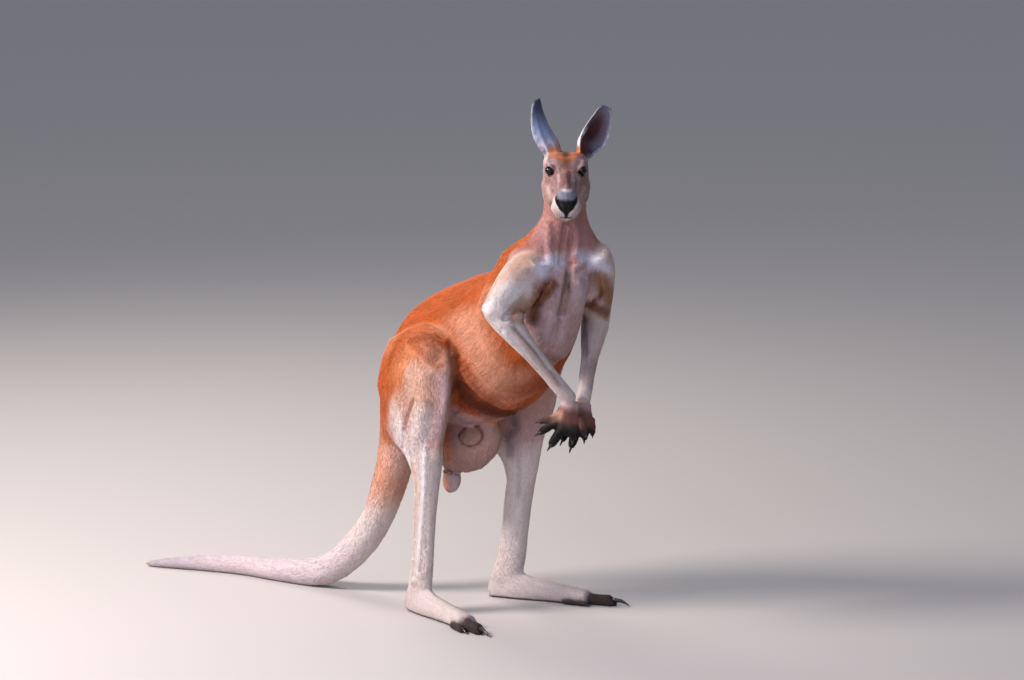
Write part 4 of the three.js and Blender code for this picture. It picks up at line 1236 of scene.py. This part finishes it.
@dataclass
class Markings:
    """The colours of skin and coat at each of the skin's points.

    Attributes:
        skin: the skin that they lie on.
        lie: the way that the hair points at each of its points.
        points: the skin's points.
        colour: linear, at each of them.
        bare: 1 where no hair grows.
        broad: how strong the broad shades are.
        streaky: likewise the streaks along the hair.
        flecked: likewise the fine flecks.
    """

    skin: Skin
    lie: np.ndarray
    broad: float = 0.06
    streaky: float = 0.15
    flecked: float = 0.1
    points: np.ndarray = field(init=False)
    colour: np.ndarray = field(init=False)
    bare: np.ndarray = field(init=False)

    def __post_init__(self) -> None:
        """Paints the regions and their borders, then each part's dabs, and last the hair's unevenness."""
        self.points = self.skin.surface.points
        bases = np.array([linear(PELTS[region].base.value) for region in ORDER])
        self.colour = self.skin.surface.soften(bases[self.skin.region], 60)
        self.bare = np.zeros(len(self.points))
        self.paint_trunk()
        self.paint_limbs()
        legs = self.skin.softly_on(3, *LEG_REGIONS)
        self.dab(TRUNK_DABS, 1 - legs)
        self.dab(LEG_DABS, np.maximum(legs, self.skin.on(Region.RUMP)))
        self.paint_tail()
        self.paint_ears()
        self.paint_paws()
        self.dab(FACE_DABS)
        self.paint_muzzle()
        self.paint_lids()
        self.vary()

    def lay(self, hue: Hue, *shares: np.ndarray | float) -> None:
        """Mixes a colour in.

        Args:
            hue: the colour.
            shares: factors of how much of it comes to each point.
        """
        self.colour += math.prod(shares)[:, None] * (np.array(linear(hue.value)) - self.colour)

    def dab(self, dabs: tuple[Dab, ...], mask: np.ndarray | float = 1.0) -> None:
        """Lays dabs in their order, where a mask lets them."""
        for dab in dabs:
            self.lay(dab.hue, dab.share(self.points), mask)

    def paint_trunk(self) -> None:
        """Red over the back and flanks down to a ragged border, and mauve below it from the chest on."""
        points = self.points
        along, angle = TRUNK.read(points)
        border = between(RED_BORDER, along) + 9 * noise(points, 30, 3) + 5 * noise(points, 9, 4)
        below = angle - border
        ragged = 0.3 * noise(points, 16, 6) + 0.15 * noise(points, 5, 7)
        trunk = smoothstep(self.skin.softly_on(40, *TRUNK_REGIONS) + ragged, 0.2, 0.75)
        self.lay(Hue.RUST, trunk, smoothstep(below, 12, -12))
        self.lay(Hue.MAUVE, trunk, smoothstep(below, -12, 12), smoothstep(along, 0.2, 0.25))

    def paint_limbs(self) -> None:
        """The thighs' red fades into the pale shins, and the trunk's red runs over the thighs' rear rim."""
        _, y, z = self.points.T
        legs = self.skin.softly_on(12, Region.THIGH, Region.SHANK)
        high = z + 0.35 * y + 25 * noise(self.points, 50, 2)
        self.lay(Hue.TAN, smoothstep(high, 480, 700), legs, 0.85)
        self.lay(Hue.ORANGE, smoothstep(high, 610, 750), legs, 0.5)
        self.lay(Hue.CREAM, smoothstep(z, 470, 350), legs, 0.8)
        trunk = self.skin.softly_on(220, Region.BELLY, Region.RUMP) + 0.06 * noise(self.points, 16, 6)
        rim = smoothstep(trunk, 0.06, 0.26)
        self.lay(Hue.RUST, rim, smoothstep(z, 440, 530), legs, smoothstep(y, -60, 0))

    def paint_tail(self) -> None:
        """The tail greys towards its tip."""
        tail, y = self.skin.on(Region.TAIL), self.points[:, 1]
        self.lay(Hue.LILAC, tail, smoothstep(y, 200, 500), 0.7)
        self.lay(Hue.GREY, tail, smoothstep(y, 700, 960), 0.45)

    def paint_ears(self) -> None:
        """Slate backs with a thin pale rim, and dark maroon hollows with white hair on one edge."""
        surface = self.skin.surface
        normals = surface.normals()
        for ear in EARS:
            here = self.skin.on(Region.EAR, side=ear.side)
            along, across = ear.read(self.points)
            edge = np.abs(across) / between(EAR_OUTLINE, along)
            hollow = surface.soften(smoothstep(normals @ unit(np.array(ear.opens)), 0.05, 0.35), 3)
            back, hollow = here * (1 - hollow), hollow * here
            core = np.hypot((along - 0.5) / 0.45, (across + 0.15) / 0.85)
            self.lay(Hue.LILAC, back, smoothstep(along, 0.5, 0.1), 0.7)
            self.lay(Hue.PALE, back, smoothstep(along, 0.22, 0.02), 0.8)
            self.lay(Hue.INK, back, smoothstep(along, 0.45, 0.9), 0.85)
            self.lay(Hue.GREY, hollow)
            self.lay(Hue.MAROON, hollow, smoothstep(core, 1.3, 0.3))
            self.lay(Hue.INK, hollow, smoothstep(along, 0.2, 0.08), 0.8)
            self.lay(Hue.FROST, here, smoothstep(edge, 0.84, 0.96), smoothstep(along, 0.98, 0.88), 0.7)
            self.lay(Hue.WHITE, here, smoothstep(across, -0.55, -0.75), smoothstep(along, 0.6, 0.4))

    def paint_paws(self) -> None:
        """Fingers and toes darken towards the claws, and the soles are dark."""
        points, skin = self.points, self.skin
        for side, wrist, tips in PAWS:
            here = skin.on(Region.HAND, side=side)
            start, end = rows(wrist, tips)
            reach = (points - start) @ unit(end - start) + 5 * noise(points, 14, 5)
            self.lay(Hue.MAUVE, here, smoothstep(reach, 32, 4), 0.85)
            self.lay(Hue.UMBER, here, smoothstep(reach, 46, 70))
            self.lay(Hue.BLACK, here, smoothstep(reach, 64, 84))
        self.lay(Hue.UMBER, skin.softly_on(5, Region.TOE), 0.9)
        self.lay(Hue.UMBER, skin.on(Region.FOOT, Region.TOE), smoothstep(points[:, 2], 9, 4), 0.8)

    def paint_muzzle(self) -> None:
        """White lips and chin, a black nose pad that is grey on top, and the lips' dark line."""
        points, head = self.points, self.skin.on(Region.HEAD)
        ahead, up, left = HEAD.read(points).T
        aside = np.abs(left)
        ragged = 1.5 * noise(points, 5, 2)
        half = between(NOSE_OUTLINE, up)
        round_pad, over_pad = np.abs(aside - half - 4), np.abs(ahead - 101 + ragged)
        pad = head * (ahead > 97) * smoothstep(half - aside + ragged, -1.5, 1.5) * (np.abs(up + 22) < 28)
        low = smoothstep(up - 3 * ragged, -14, -26)
        self.lay(Hue.CREAM, head, smoothstep(ahead + 3 * ragged, 80, 94), low, 0.6)
        self.lay(Hue.CREAM, head, smoothstep(ahead + 2 * ragged, 96, 104), up > -14, 0.75)
        self.lay(Hue.WHITE, head, ahead > 90, smoothstep(round_pad, 5, 0), np.abs(up + 20) < 30, 0.6)
        self.lay(Hue.FROST, head, smoothstep(over_pad, 6, 0), up > -12, aside < 24, 0.7)
        self.lay(Hue.BLACK, pad)
        self.lay(Hue.PEWTER, pad, smoothstep(up + ragged, -12, 2), 0.8)
        self.bare = np.maximum(self.bare, pad * (up < -2))
        groove = smoothstep(between(PHILTRUM, up) - aside, 0, 2)
        self.lay(Hue.BLACK, head, ahead > 112, groove, np.abs(up + 53) < 11)
        halves = [HEAD.place([(a, b, s * c) for a, b, c in MOUTH]) for s in (1, -1)]
        away = np.minimum(*(reach_of(points, half_line) for half_line in halves))
        line = smoothstep(between(MOUTH_WIDTH, aside) - away, 0, 2)
        self.lay(Hue.BLACK, head, line, between(((0, 1), (12, 1), (30, 0.6)), aside))

    def paint_lids(self) -> None:
        """The lids' rims are bare and black."""
        for side in (1, -1):
            edge, away = LIDS.opening(self.points, side)
            near = away < EYE_RADIUS + 8
            close = smoothstep(away, EYE_RADIUS + 6, EYE_RADIUS + 3.5)
            self.lay(Hue.BLACK, near, close, smoothstep(edge, 1.62, 1.37))
            self.bare = np.maximum(self.bare, near * (edge < 1.3))

    def vary(self) -> None:
        """Gives the colour the unevenness of hair: broad shades, streaks along the hair and fine flecks."""
        points = self.points
        streaks = sum(noise(points + reach * self.lie, 7, 9) for reach in (-24, -12, 0, 12, 24)) / 2
        fine = sum(noise(points + reach * self.lie, 3.5, 10) for reach in (-9, 0, 9)) / 1.7
        shade = self.broad * noise(points, 60, 1) + self.streaky * streaks + self.flecked * fine
        # red hair is more uneven than pale hair
        red = 1 - self.colour[:, 2] / np.maximum(self.colour[:, 0], 1e-3)
        factor = 1 + shade * (0.4 + 0.8 * red) * (1 - 0.8 * self.bare)
        self.colour = np.clip(self.colour * factor[:, None], 0, 1)


# ---- the coat ----
@dataclass(frozen=True)
class CoatPiece:
    """A stretch of the coat that is one mesh.

    Attributes:
        name: the piece's name.
        slot: the record's slot for its finish.
        most: the most tufts that it may have.
        course: the line that its unwrap is rolled round.
        regions: the regions that it covers.
        side: 1 for the left limb alone and -1 for the right one, or None for all of the regions.
    """

    name: str
    slot: str
    most: int
    course: Course
    regions: tuple[Region, ...]
    side: int | None = None


COAT = (
    CoatPiece("coat_head", "coat_face", 32000, HEAD_COURSE, (Region.HEAD,)),
    CoatPiece("coat_ears", "coat_ear", 15000, HEAD_COURSE, (Region.EAR,)),
    CoatPiece("coat_chest", "coat_pale", 31000, TRUNK, (Region.NECK, Region.CHEST)),
    CoatPiece("coat_belly", "coat_red", 32000, TRUNK, (Region.BELLY,)),
    CoatPiece("coat_rump", "coat_red", 20000, TRUNK, (Region.RUMP,)),
    CoatPiece("coat_leg_right", "coat_pale", 32000, LEG_COURSES[-1], LEG_REGIONS, -1),
    CoatPiece("coat_leg_left", "coat_pale", 30000, LEG_COURSES[1], LEG_REGIONS, 1),
    CoatPiece("coat_arm_right", "coat_pale", 14000, ARM_COURSES[-1], ARM_REGIONS, -1),
    CoatPiece("coat_arm_left", "coat_pale", 14000, ARM_COURSES[1], ARM_REGIONS, 1),
    CoatPiece("coat_tail", "coat_pale", 22000, TAIL, REAR_REGIONS),
)


def hair_way(skin: Skin) -> np.ndarray:
    """The way that the hair points at each of the skin's points."""
    points = skin.surface.points
    way = np.tile(np.array([0.0, 0.1, -1.0]), (len(points), 1))
    trunk, tail, head = skin.on(*TRUNK_REGIONS), skin.on(Region.TAIL), skin.on(Region.HEAD)
    way[trunk] = TRUNK.nearest(points[trunk])[2] + np.array([0, 0, -0.45])
    way[tail] = TAIL.nearest(points[tail])[2]
    ahead, above, _ = HEAD.matrix()
    way[head] = -ahead - 0.35 * above * (HEAD.read(points[head])[:, 1] < -10)[:, None]
    for ear in EARS:
        way[skin.on(Region.EAR, side=ear.side)] = unit(HEAD.place(ear.tip) - HEAD.place(ear.root))
    for side, course in ARM_COURSES.items():
        here = skin.on(*ARM_REGIONS, side=side)
        way[here] = course.nearest(points[here])[2]
    for leg in LEGS:
        forwards = leg.place((0, 1, 0)) - leg.place((0, 0, 0))
        way[skin.on(Region.FOOT, Region.TOE, side=leg.side)] = forwards + np.array([0, 0, -0.2])
        way[skin.on(Region.THIGH, side=leg.side)] = np.array([0.0, 0.35, -1.0])
    swirl = 0.28 * np.stack([noise(points, 45, seed) for seed in (6, 7, 8)], 1)
    return unit(skin.surface.soften(unit(way) + swirl, 24))


def blend(values: np.ndarray, corners: np.ndarray, split: np.ndarray) -> np.ndarray:
    """Values inside triangles, mixed from their corners.

    Args:
        values: one row for each of the skin's points.
        corners: each triangle's three points.
        split: each corner's share.

    Returns:
        One row for each triangle.
    """
    return np.einsum("ij,ij...->i...", split, values[corners])


@dataclass
class Coat:
    """Thin tufts that lie along the body.

    Attributes:
        skin: the skin that they grow on, at its full fineness.
        markings: the colours and the lie of the hair that they share with it.
        share: how much of the full number of tufts is made.
        layers: how often the tufts cover the skin where their number has room.
        cover: what part of its length times its width a tuft covers.
        lowest: the height under which none is rooted, in millimetres.
    """

    skin: Skin
    markings: Markings
    share: float = 1.0
    layers: float = 1.25
    cover: float = 0.5
    lowest: float = 2.5

    def build(self) -> list[bpy.types.Object]:
        """Makes every piece of the coat.

        Returns:
            The pieces' objects, in the order of COAT.
        """
        surface, markings = self.skin.surface, self.markings
        triangles = read_triangles(self.skin.piece.data)
        normals = surface.normals()
        measures = {name: self.skin.pelt(name) for name in ("depth", "length", "width", "lift")}
        cover = self.cover * measures["length"] * measures["width"]
        hairy = (markings.bare < 0.5) & (surface.points[:, 2] > self.lowest)
        made = []
        for number, kind in enumerate(COAT):
            chance = np.random.default_rng(SEED + number)
            inside = self.skin.on(*kind.regions, side=kind.side) & hairy
            mine = triangles[inside[triangles].all(1)]
            a, b, c = (surface.points[mine[:, k]] for k in range(3))
            want = np.linalg.norm(np.cross(b - a, c - a), axis=1) / 2 / cover[mine].mean(1)
            count = int(min(kind.most, self.layers * want.sum()) * self.share)
            log.info("%s: %d tufts for %.0f wanted", kind.name, count, want.sum())
            chosen = mine[chance.choice(len(mine), count, p=want / want.sum())]
            split = chance.dirichlet((1, 1, 1), count)
            tufts = Tufts(
                blend(surface.points, chosen, split),
                unit(blend(normals, chosen, split)),
                blend(markings.lie, chosen, split),
                {name: blend(values, chosen, split)[:, None] for name, values in measures.items()},
                blend(markings.colour, chosen, split),
                chance,
            )
            made.append(tufts.mesh(kind, self.skin.origin))
        return made


# a tuft's corners are its root, its two sides, its ridge and its tip; the tip is paler than the root
LEAF = np.array([(0, 3, 1), (0, 2, 3), (1, 3, 4), (3, 2, 4), (0, 1, 2), (1, 4, 2)])
LEAF_SHADES = np.array([0.9, 1.0, 1.0, 1.02, 1.14])
LEAF_PATCH = 0.0015 * np.array([(0, -1), (1, 0), (-1, 0), (0, 0), (0, 1)])
LOWEST_TIP = 0.4  # the soles' hair stays this far above the floor, in millimetres


@dataclass
class Tufts:
    """Where the tufts of one piece are rooted, and how they lie.

    Attributes:
        roots: in millimetres.
        normals: the skin's outward direction at each root.
        lie: the way that the hair points there.
        measures: the pelt's depth, length, width and lift there.
        colour: linear, at each root.
        chance: the source of random numbers.
        lengths: the range of a tuft's length, in parts of the measure.
        widths: likewise for its width.
        lifts: likewise for its lift.
        tips: the range of its tip's height, in parts of the depth.
        shades: the range of its shade.
        strays: how far it may stray aside from the hair's way.
        tilts: how far the light on it may turn aside and along.
    """

    roots: np.ndarray
    normals: np.ndarray
    lie: np.ndarray
    measures: dict[str, np.ndarray]
    colour: np.ndarray
    chance: np.random.Generator
    lengths: tuple[float, float] = (0.7, 1.3)
    widths: tuple[float, float] = (0.7, 1.25)
    lifts: tuple[float, float] = (0.5, 1.2)
    tips: tuple[float, float] = (0.15, 0.95)
    shades: tuple[float, float] = (0.76, 1.2)
    strays: float = 0.24
    tilts: tuple[float, float] = (0.22, 0.12)

    def spread(self, low: float, high: float) -> np.ndarray:
        """A random number between these for each tuft, as a column."""
        return self.chance.uniform(low, high, len(self.roots))[:, None]

    def mesh(self, kind: CoatPiece, origin: np.ndarray) -> bpy.types.Object:
        """Makes the piece: each tuft is a thin closed leaf of six triangles, ridged along its back.

        Args:
            kind: the piece.
            origin: where the animal's own zero lies in the frame, in metres.

        Returns:
            The piece's object.
        """
        count = len(self.roots)
        aside = np.cross(self.normals, self.lie)
        way = unit(np.cross(aside, self.normals) + self.spread(-self.strays, self.strays) * aside)
        aside = np.cross(self.normals, way)
        length = self.measures["length"] * self.spread(*self.lengths)
        width = self.measures["width"] * self.spread(*self.widths)
        lift = self.measures["lift"] * self.spread(*self.lifts)
        tip = self.measures["depth"] * self.spread(*self.tips)
        middle = self.roots + 0.45 * length * way + 0.55 * lift * self.normals
        corners = [
            self.roots - 0.5 * self.normals,
            middle + 0.5 * width * aside,
            middle - 0.5 * width * aside,
            middle + (0.45 * lift + 0.2 * width) * self.normals,
            self.roots + length * way + tip * self.normals,
        ]
        corners = np.stack(corners, 1)
        corners[:, :, 2] = np.maximum(corners[:, :, 2], LOWEST_TIP)
        turn, lean = self.tilts
        facing = self.normals + self.spread(-turn, turn) * aside + self.spread(-lean, lean) * way
        bent = 0.55 * aside
        turned = [facing - 0.2 * way, facing + bent, facing - bent, facing, facing + 0.3 * way]
        faces = (LEAF[None] + 5 * np.arange(count)[:, None, None]).reshape(-1, 3)
        data = bpy.data.meshes.new(kind.name)
        data.vertices.add(5 * count)
        data.loops.add(faces.size)
        data.polygons.add(len(faces))
        data.loops.foreach_set("vertex_index", faces.ravel().astype(np.int32))
        data.polygons.foreach_set("loop_start", np.arange(0, faces.size, 3, dtype=np.int32))
        data.polygons.foreach_set("use_smooth", np.ones(len(faces), bool))
        data.update(calc_edges=True)
        write_points(data, corners.reshape(-1, 3) * MM + origin)
        shade = self.spread(*self.shades) * LEAF_SHADES
        write_colours(data, np.clip(self.colour[:, None] * shade[:, :, None], 0, 1).reshape(-1, 3))
        self.unwrap(data, kind.course, faces)
        # hair takes the light as the body under it does
        data.normals_split_custom_set_from_vertices(unit(np.stack(turned, 1)).reshape(-1, 3))
        piece = bpy.data.objects.new(kind.name, data)
        bpy.context.scene.collection.objects.link(piece)
        return piece

    def unwrap(self, data: bpy.types.Mesh, course: Course, faces: np.ndarray) -> None:
        """Gives each tuft its patch, at its root's place on the skin rolled out from its course.

        Args:
            data: the piece's mesh.
            course: the line of its stretch of the body.
            faces: its triangles.
        """
        along, angle = course.rolled(self.roots)
        place = np.stack([0.5 + 0.49 * angle / math.pi, 0.01 + 0.98 * along], 1)
        spots = (place[:, None] + LEAF_PATCH[None]).reshape(-1, 2)
        data.uv_layers.new(name="OFBake").data.foreach_set("uv", spots[faces.ravel()].ravel())


# ---- finishes ----
def new_material(name: str, settings: dict[str, object]) -> tuple[bpy.types.Material, bpy.types.Node]:
    """Makes a material.

    Args:
        name: its name.
        settings: values for the shader's own inputs.

    Returns:
        The material and its shader.
    """
    material = bpy.data.materials.new(name)
    material.use_nodes = True
    shader = material.node_tree.nodes["Principled BSDF"]
    for socket, value in settings.items():
        shader.inputs[socket].default_value = value
    return material, shader


def add_node(
    tree: bpy.types.NodeTree, kind: str, links: dict | None = None, **settings: object
) -> bpy.types.Node:
    """Adds a node.

    Args:
        tree: the material's nodes.
        kind: the node's type.
        links: for an input, by name or number, an output to link or a value to set.
        settings: the node's own properties.

    Returns:
        The node.
    """
    node = tree.nodes.new(kind)
    for name, value in settings.items():
        setattr(node, name, value)
    for name, value in (links or {}).items():
        if isinstance(value, bpy.types.NodeSocket):
            tree.links.new(value, node.inputs[name])
        else:
            node.inputs[name].default_value = value
    return node


@dataclass(frozen=True)
class Fur:
    """Short flat hair: dull, with a faint sheen where it is seen edge on.

    Attributes:
        name: the material's name.
        roughness: of the hair.
        shine: the specular level.
        sheen: how much of the sheen there is.
        sheen_roughness: how wide it spreads.
        locks: how many flecks there are to the metre.
        contrast: how much the flecks darken and lighten the colour.
        relief: how far the fine bump stands, in millimetres.
        bump: the bump's strength.
    """

    name: str
    roughness: float = 0.72
    shine: float = 0.25
    sheen: float = 0.06
    sheen_roughness: float = 0.5
    locks: float = 480.0
    contrast: float = 0.08
    relief: float = 1.2
    bump: float = 0.6

    def material(self) -> bpy.types.Material:
        """Makes the material. Its colour is the piece's own markings, flecked as hair is."""
        settings = {
            "Roughness": self.roughness,
            "Specular IOR Level": self.shine,
            "Sheen Weight": self.sheen,
            "Sheen Roughness": self.sheen_roughness,
        }
        material, shader = new_material(self.name, settings)
        tree = material.node_tree
        place = add_node(tree, "ShaderNodeTexCoord").outputs["Object"]
        marks = add_node(tree, "ShaderNodeAttribute", attribute_name="coat").outputs["Color"]
        # hair is about 0.05 mm thick, so the flecks are drawn as coarse locks of 2 mm
        noise_settings = {"Vector": place, "Scale": self.locks, "Detail": 2.0}
        flecks = add_node(tree, "ShaderNodeTexNoise", noise_settings).outputs["Fac"]
        span = {"Value": flecks, "To Min": 1 - self.contrast, "To Max": 1 + self.contrast}
        shade = add_node(tree, "ShaderNodeMapRange", span).outputs["Result"]
        mix = {6: marks, 7: shade, "Factor": 1.0}
        mixed = add_node(tree, "ShaderNodeMix", mix, data_type="RGBA", blend_type="MULTIPLY")
        relief = {"Height": flecks, "Distance": self.relief * MM, "Strength": self.bump}
        bump = add_node(tree, "ShaderNodeBump", relief)
        tree.links.new(mixed.outputs[2], shader.inputs["Base Color"])
        tree.links.new(bump.outputs["Normal"], shader.inputs["Normal"])
        return material


@dataclass(frozen=True)
class Glossy:
    """A hard smooth finish, such as claw horn or the wet front of an eye.

    Attributes:
        name: the material's name.
        dark: its colour, as an sRGB hex value.
        light: the colour of its paler streaks.
        roughness: of the surface.
        coat: how much clear wet coat lies over it.
        streak: the width of the streaks, in millimetres.
        shine: the specular level.
        coat_roughness: of the clear coat.
    """

    name: str
    dark: int
    light: int
    roughness: float
    coat: float
    streak: float
    shine: float = 0.5
    coat_roughness: float = 0.03

    def material(self) -> bpy.types.Material:
        """Makes the material."""
        settings = {
            "Roughness": self.roughness,
            "Specular IOR Level": self.shine,
            "Coat Weight": self.coat,
            "Coat Roughness": self.coat_roughness,
        }
        material, shader = new_material(self.name, settings)
        tree = material.node_tree
        place = add_node(tree, "ShaderNodeTexCoord").outputs["Object"]
        noise_settings = {"Vector": place, "Scale": 1000.0 / self.streak, "Detail": 3.0}
        streaks = add_node(tree, "ShaderNodeTexNoise", noise_settings).outputs["Fac"]
        mix = {6: (*linear(self.dark), 1), 7: (*linear(self.light), 1), "Factor": streaks}
        mixed = add_node(tree, "ShaderNodeMix", mix, data_type="RGBA")
        tree.links.new(mixed.outputs[2], shader.inputs["Base Color"])
        return material


SHORT_HAIR = Fur("short_hair")
WET_EYE = Glossy("dark_wet_eye", 0x020101, 0x0A0503, 0.07, 0.25, 9.0, 0.3)
HORN = Glossy("black_horn", 0x0E0B0A, 0x2E2420, 0.32, 0.25, 1.6)


# ---- eyes and claws ----
@dataclass
class Eye:
    """An eyeball with the slight bulge of a cornea.

    Attributes:
        side: 1 for the left eye and -1 for the right.
        origin: where the animal's own zero lies in the frame, in metres.
        bulge: how far the cornea stands out, in parts of the radius.
        rim: how far ahead of the middle it starts, in parts of the radius.
    """

    side: int
    origin: np.ndarray
    bulge: float = 0.05
    rim: float = 0.72

    def word(self) -> str:
        """The side as the nodes name it."""
        return "left" if self.side > 0 else "right"

    def build(self) -> bpy.types.Object:
        """Makes the eyeball.

        Returns:
            Its object.
        """
        deselect()
        bpy.ops.mesh.primitive_uv_sphere_add(segments=48, ring_count=32, radius=EYE_RADIUS)
        eye = bpy.context.object
        eye.name = eye.data.name = "eye_ball_" + self.word()
        points = read_points(eye.data)
        bulge = 1 + self.bulge * smoothstep(points[:, 2] / EYE_RADIUS, self.rim, 1.0)
        turned = (points * bulge[:, None])[:, [2, 1, 0]] @ LIDS.axes(self.side)
        spots = HEAD.place(turned + eye_middle(self.side))
        write_points(eye.data, spots * MM + self.origin)
        set_smooth(eye)
        return eye


@dataclass
class Claws:
    """The claws of hands and feet as one piece, rounder than their solids.

    Attributes:
        swell: how much each solid is grown, in metres, because the rounding draws it in.
        levels: how often each face is split.
        nodes: the claws' nodes.
    """

    frame: dict
    swell: float = 0.0006
    levels: int = 2
    nodes: list[str] = field(init=False)

    def __post_init__(self) -> None:
        """Finds the claws' nodes."""
        self.nodes = sorted(name for name in self.frame["nodes"] if "claw" in name)

    def build(self) -> bpy.types.Object:
        """Makes the claws.

        Returns:
            The piece's object.
        """
        claws = joined(copies_of(self.frame, self.nodes, self.swell), "claws")
        apply_modifier(claws, "SUBSURF", levels=self.levels)
        set_smooth(claws)
        return claws


# ---- the studio ----
def stand(
    name: str, data: bpy.types.ID, azimuth: float, elevation: float, distance: float, aim: Vector
) -> bpy.types.Object:
    """Sets up a camera or a lamp so that it looks at a spot.

    Args:
        name: the object's name.
        data: the camera or the lamp.
        azimuth: the side that it looks from, in degrees.
        elevation: how high it stands, in degrees.
        distance: how far off, in metres.
        aim: the spot, in metres.

    Returns:
        The object.
    """
    turn, rise = math.radians(azimuth), math.radians(elevation)
    back = Vector((math.sin(turn) * math.cos(rise), -math.cos(turn) * math.cos(rise), math.sin(rise)))
    piece = bpy.data.objects.new(name, data)
    piece.location = aim + distance * back
    piece.rotation_euler = back.to_track_quat("Z", "Y").to_euler()
    bpy.context.scene.collection.objects.link(piece)
    return piece


@dataclass(frozen=True)
class Lamp:
    """A large soft light that points at the animal's middle.

    Attributes:
        name: the light's name.
        azimuth: in degrees, as for the camera.
        elevation: likewise.
        size: its width in metres.
        power: in watts.
        colour: as an sRGB hex value.
        distance: from the animal, in metres.
        aim: the height of the animal's middle, in metres.
    """

    name: str
    azimuth: float
    elevation: float
    size: float
    power: float
    colour: int
    distance: float = 4.0
    aim: float = 0.7

    def build(self) -> None:
        """Makes the light."""
        data = bpy.data.lights.new(self.name, "AREA")
        data.shape = "DISK"
        data.size = self.size
        data.energy = self.power
        data.color = linear(self.colour)
        stand(self.name, data, self.azimuth, self.elevation, self.distance, Vector((0, 0, self.aim)))


@dataclass
class Studio:
    """The floor, the lights and the camera.

    Attributes:
        origin: where the animal's own zero lies in the frame, in metres.
        aim: the spot in the picture's middle, in millimetres on the animal's axes.
        azimuth: the side that the camera looks from, in degrees.
        elevation: how high it stands, in degrees.
        distance: from the spot, in metres.
        lens: in millimetres.
        surround: the colour of the light from all sides, as an sRGB hex value.
        surround_strength: how much of it there is.
        floor_colour: as an sRGB hex value.
    """

    origin: np.ndarray
    aim: Spot = (184.6, -43.7, 689.0)
    azimuth: float = -53.13
    elevation: float = 10.0
    distance: float = 15.0
    lens: float = 199.0
    lamps: tuple[Lamp, ...] = (
        Lamp("key", -121, 35, 1.5, 238, 0xFFF3ED),
        Lamp("fill", -66, 20, 3.0, 46, 0xD2DAFF),
        Lamp("rim", 150, 40, 2.0, 70, 0xFFF6EC),
    )
    surround: int = 0xCDD4E4
    surround_strength: float = 0.47
    floor_colour: int = 0xC2BDBA

    def camera(self) -> None:
        """Sets the camera at the height and side that the animal is seen from."""
        data = bpy.data.cameras.new("camera")
        data.lens = self.lens
        data.sensor_width = 36.0
        data.clip_end = 60.0
        aim = Vector(np.array(self.aim) * MM + self.origin)
        bpy.context.scene.camera = stand("camera", data, self.azimuth, self.elevation, self.distance, aim)

    def build(self) -> None:
        """Makes the camera, the lights, the pale surround and the floor."""
        self.camera()
        for lamp in self.lamps:
            lamp.build()
        world = bpy.data.worlds.new("surround")
        bpy.context.scene.world = world
        world.use_nodes = True
        background = world.node_tree.nodes["Background"].inputs
        background["Color"].default_value = (*linear(self.surround), 1)
        background["Strength"].default_value = self.surround_strength
        bpy.context.scene.view_settings.view_transform = "Standard"
        deselect()
        bpy.ops.mesh.primitive_plane_add(size=60, location=(0, 0, 0))
        floor = bpy.context.object
        floor.name = "floor"
        dull = {"Base Color": (*linear(self.floor_colour), 1), "Roughness": 0.9}
        floor.data.materials.append(new_material("pale_floor", dull)[0])


def box_middle(node: str) -> np.ndarray:
    """The middle of a node's box, in metres."""
    low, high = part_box(node)
    return (np.array(low) + np.array(high)) / 2


def hand_in(piece: bpy.types.Object, finish: bpy.types.Material, slot: str, *replaced: str) -> None:
    """Dresses a finished piece, hangs it on the root body and hides the nodes that it stands in for.

    Args:
        piece: the object.
        finish: its material.
        slot: the record's slot for that; not used.
        replaced: the nodes that it stands in for.
    """
    piece.data.materials.append(finish)
    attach(piece, "root")
    if replaced:
        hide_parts(*replaced)
    log.info("%s: %d faces", piece.name, len(piece.data.polygons))


def main() -> None:
    """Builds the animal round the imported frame."""
    logging.basicConfig(level=logging.INFO, format="%(message)s")
    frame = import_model()
    eyes = (box_middle("eye_right") + box_middle("eye_left")) / 2
    origin = eyes - HEAD.place(eye_middle(0)) * MM
    Studio(origin).build()
    skin = Skin(frame, origin)
    skin.build()
    markings = Markings(skin, hair_way(skin))
    write_colours(skin.piece.data, markings.colour)
    fur = SHORT_HAIR.material()
    for kind, tufts in zip(COAT, Coat(skin, markings, 1.0).build()):
        hand_in(tufts, fur, kind.slot)
    skin.thin()
    hand_in(skin.piece, fur, "coat_red", *skin.nodes)
    wet = WET_EYE.material()
    for side in (1, -1):
        eye = Eye(side, origin)
        hand_in(eye.build(), wet, "eye", "eye_" + eye.word())
    claws = Claws(frame)
    hand_in(claws.build(), HORN.material(), "claw", *claws.nodes)


if __name__ == "__main__":
    main()
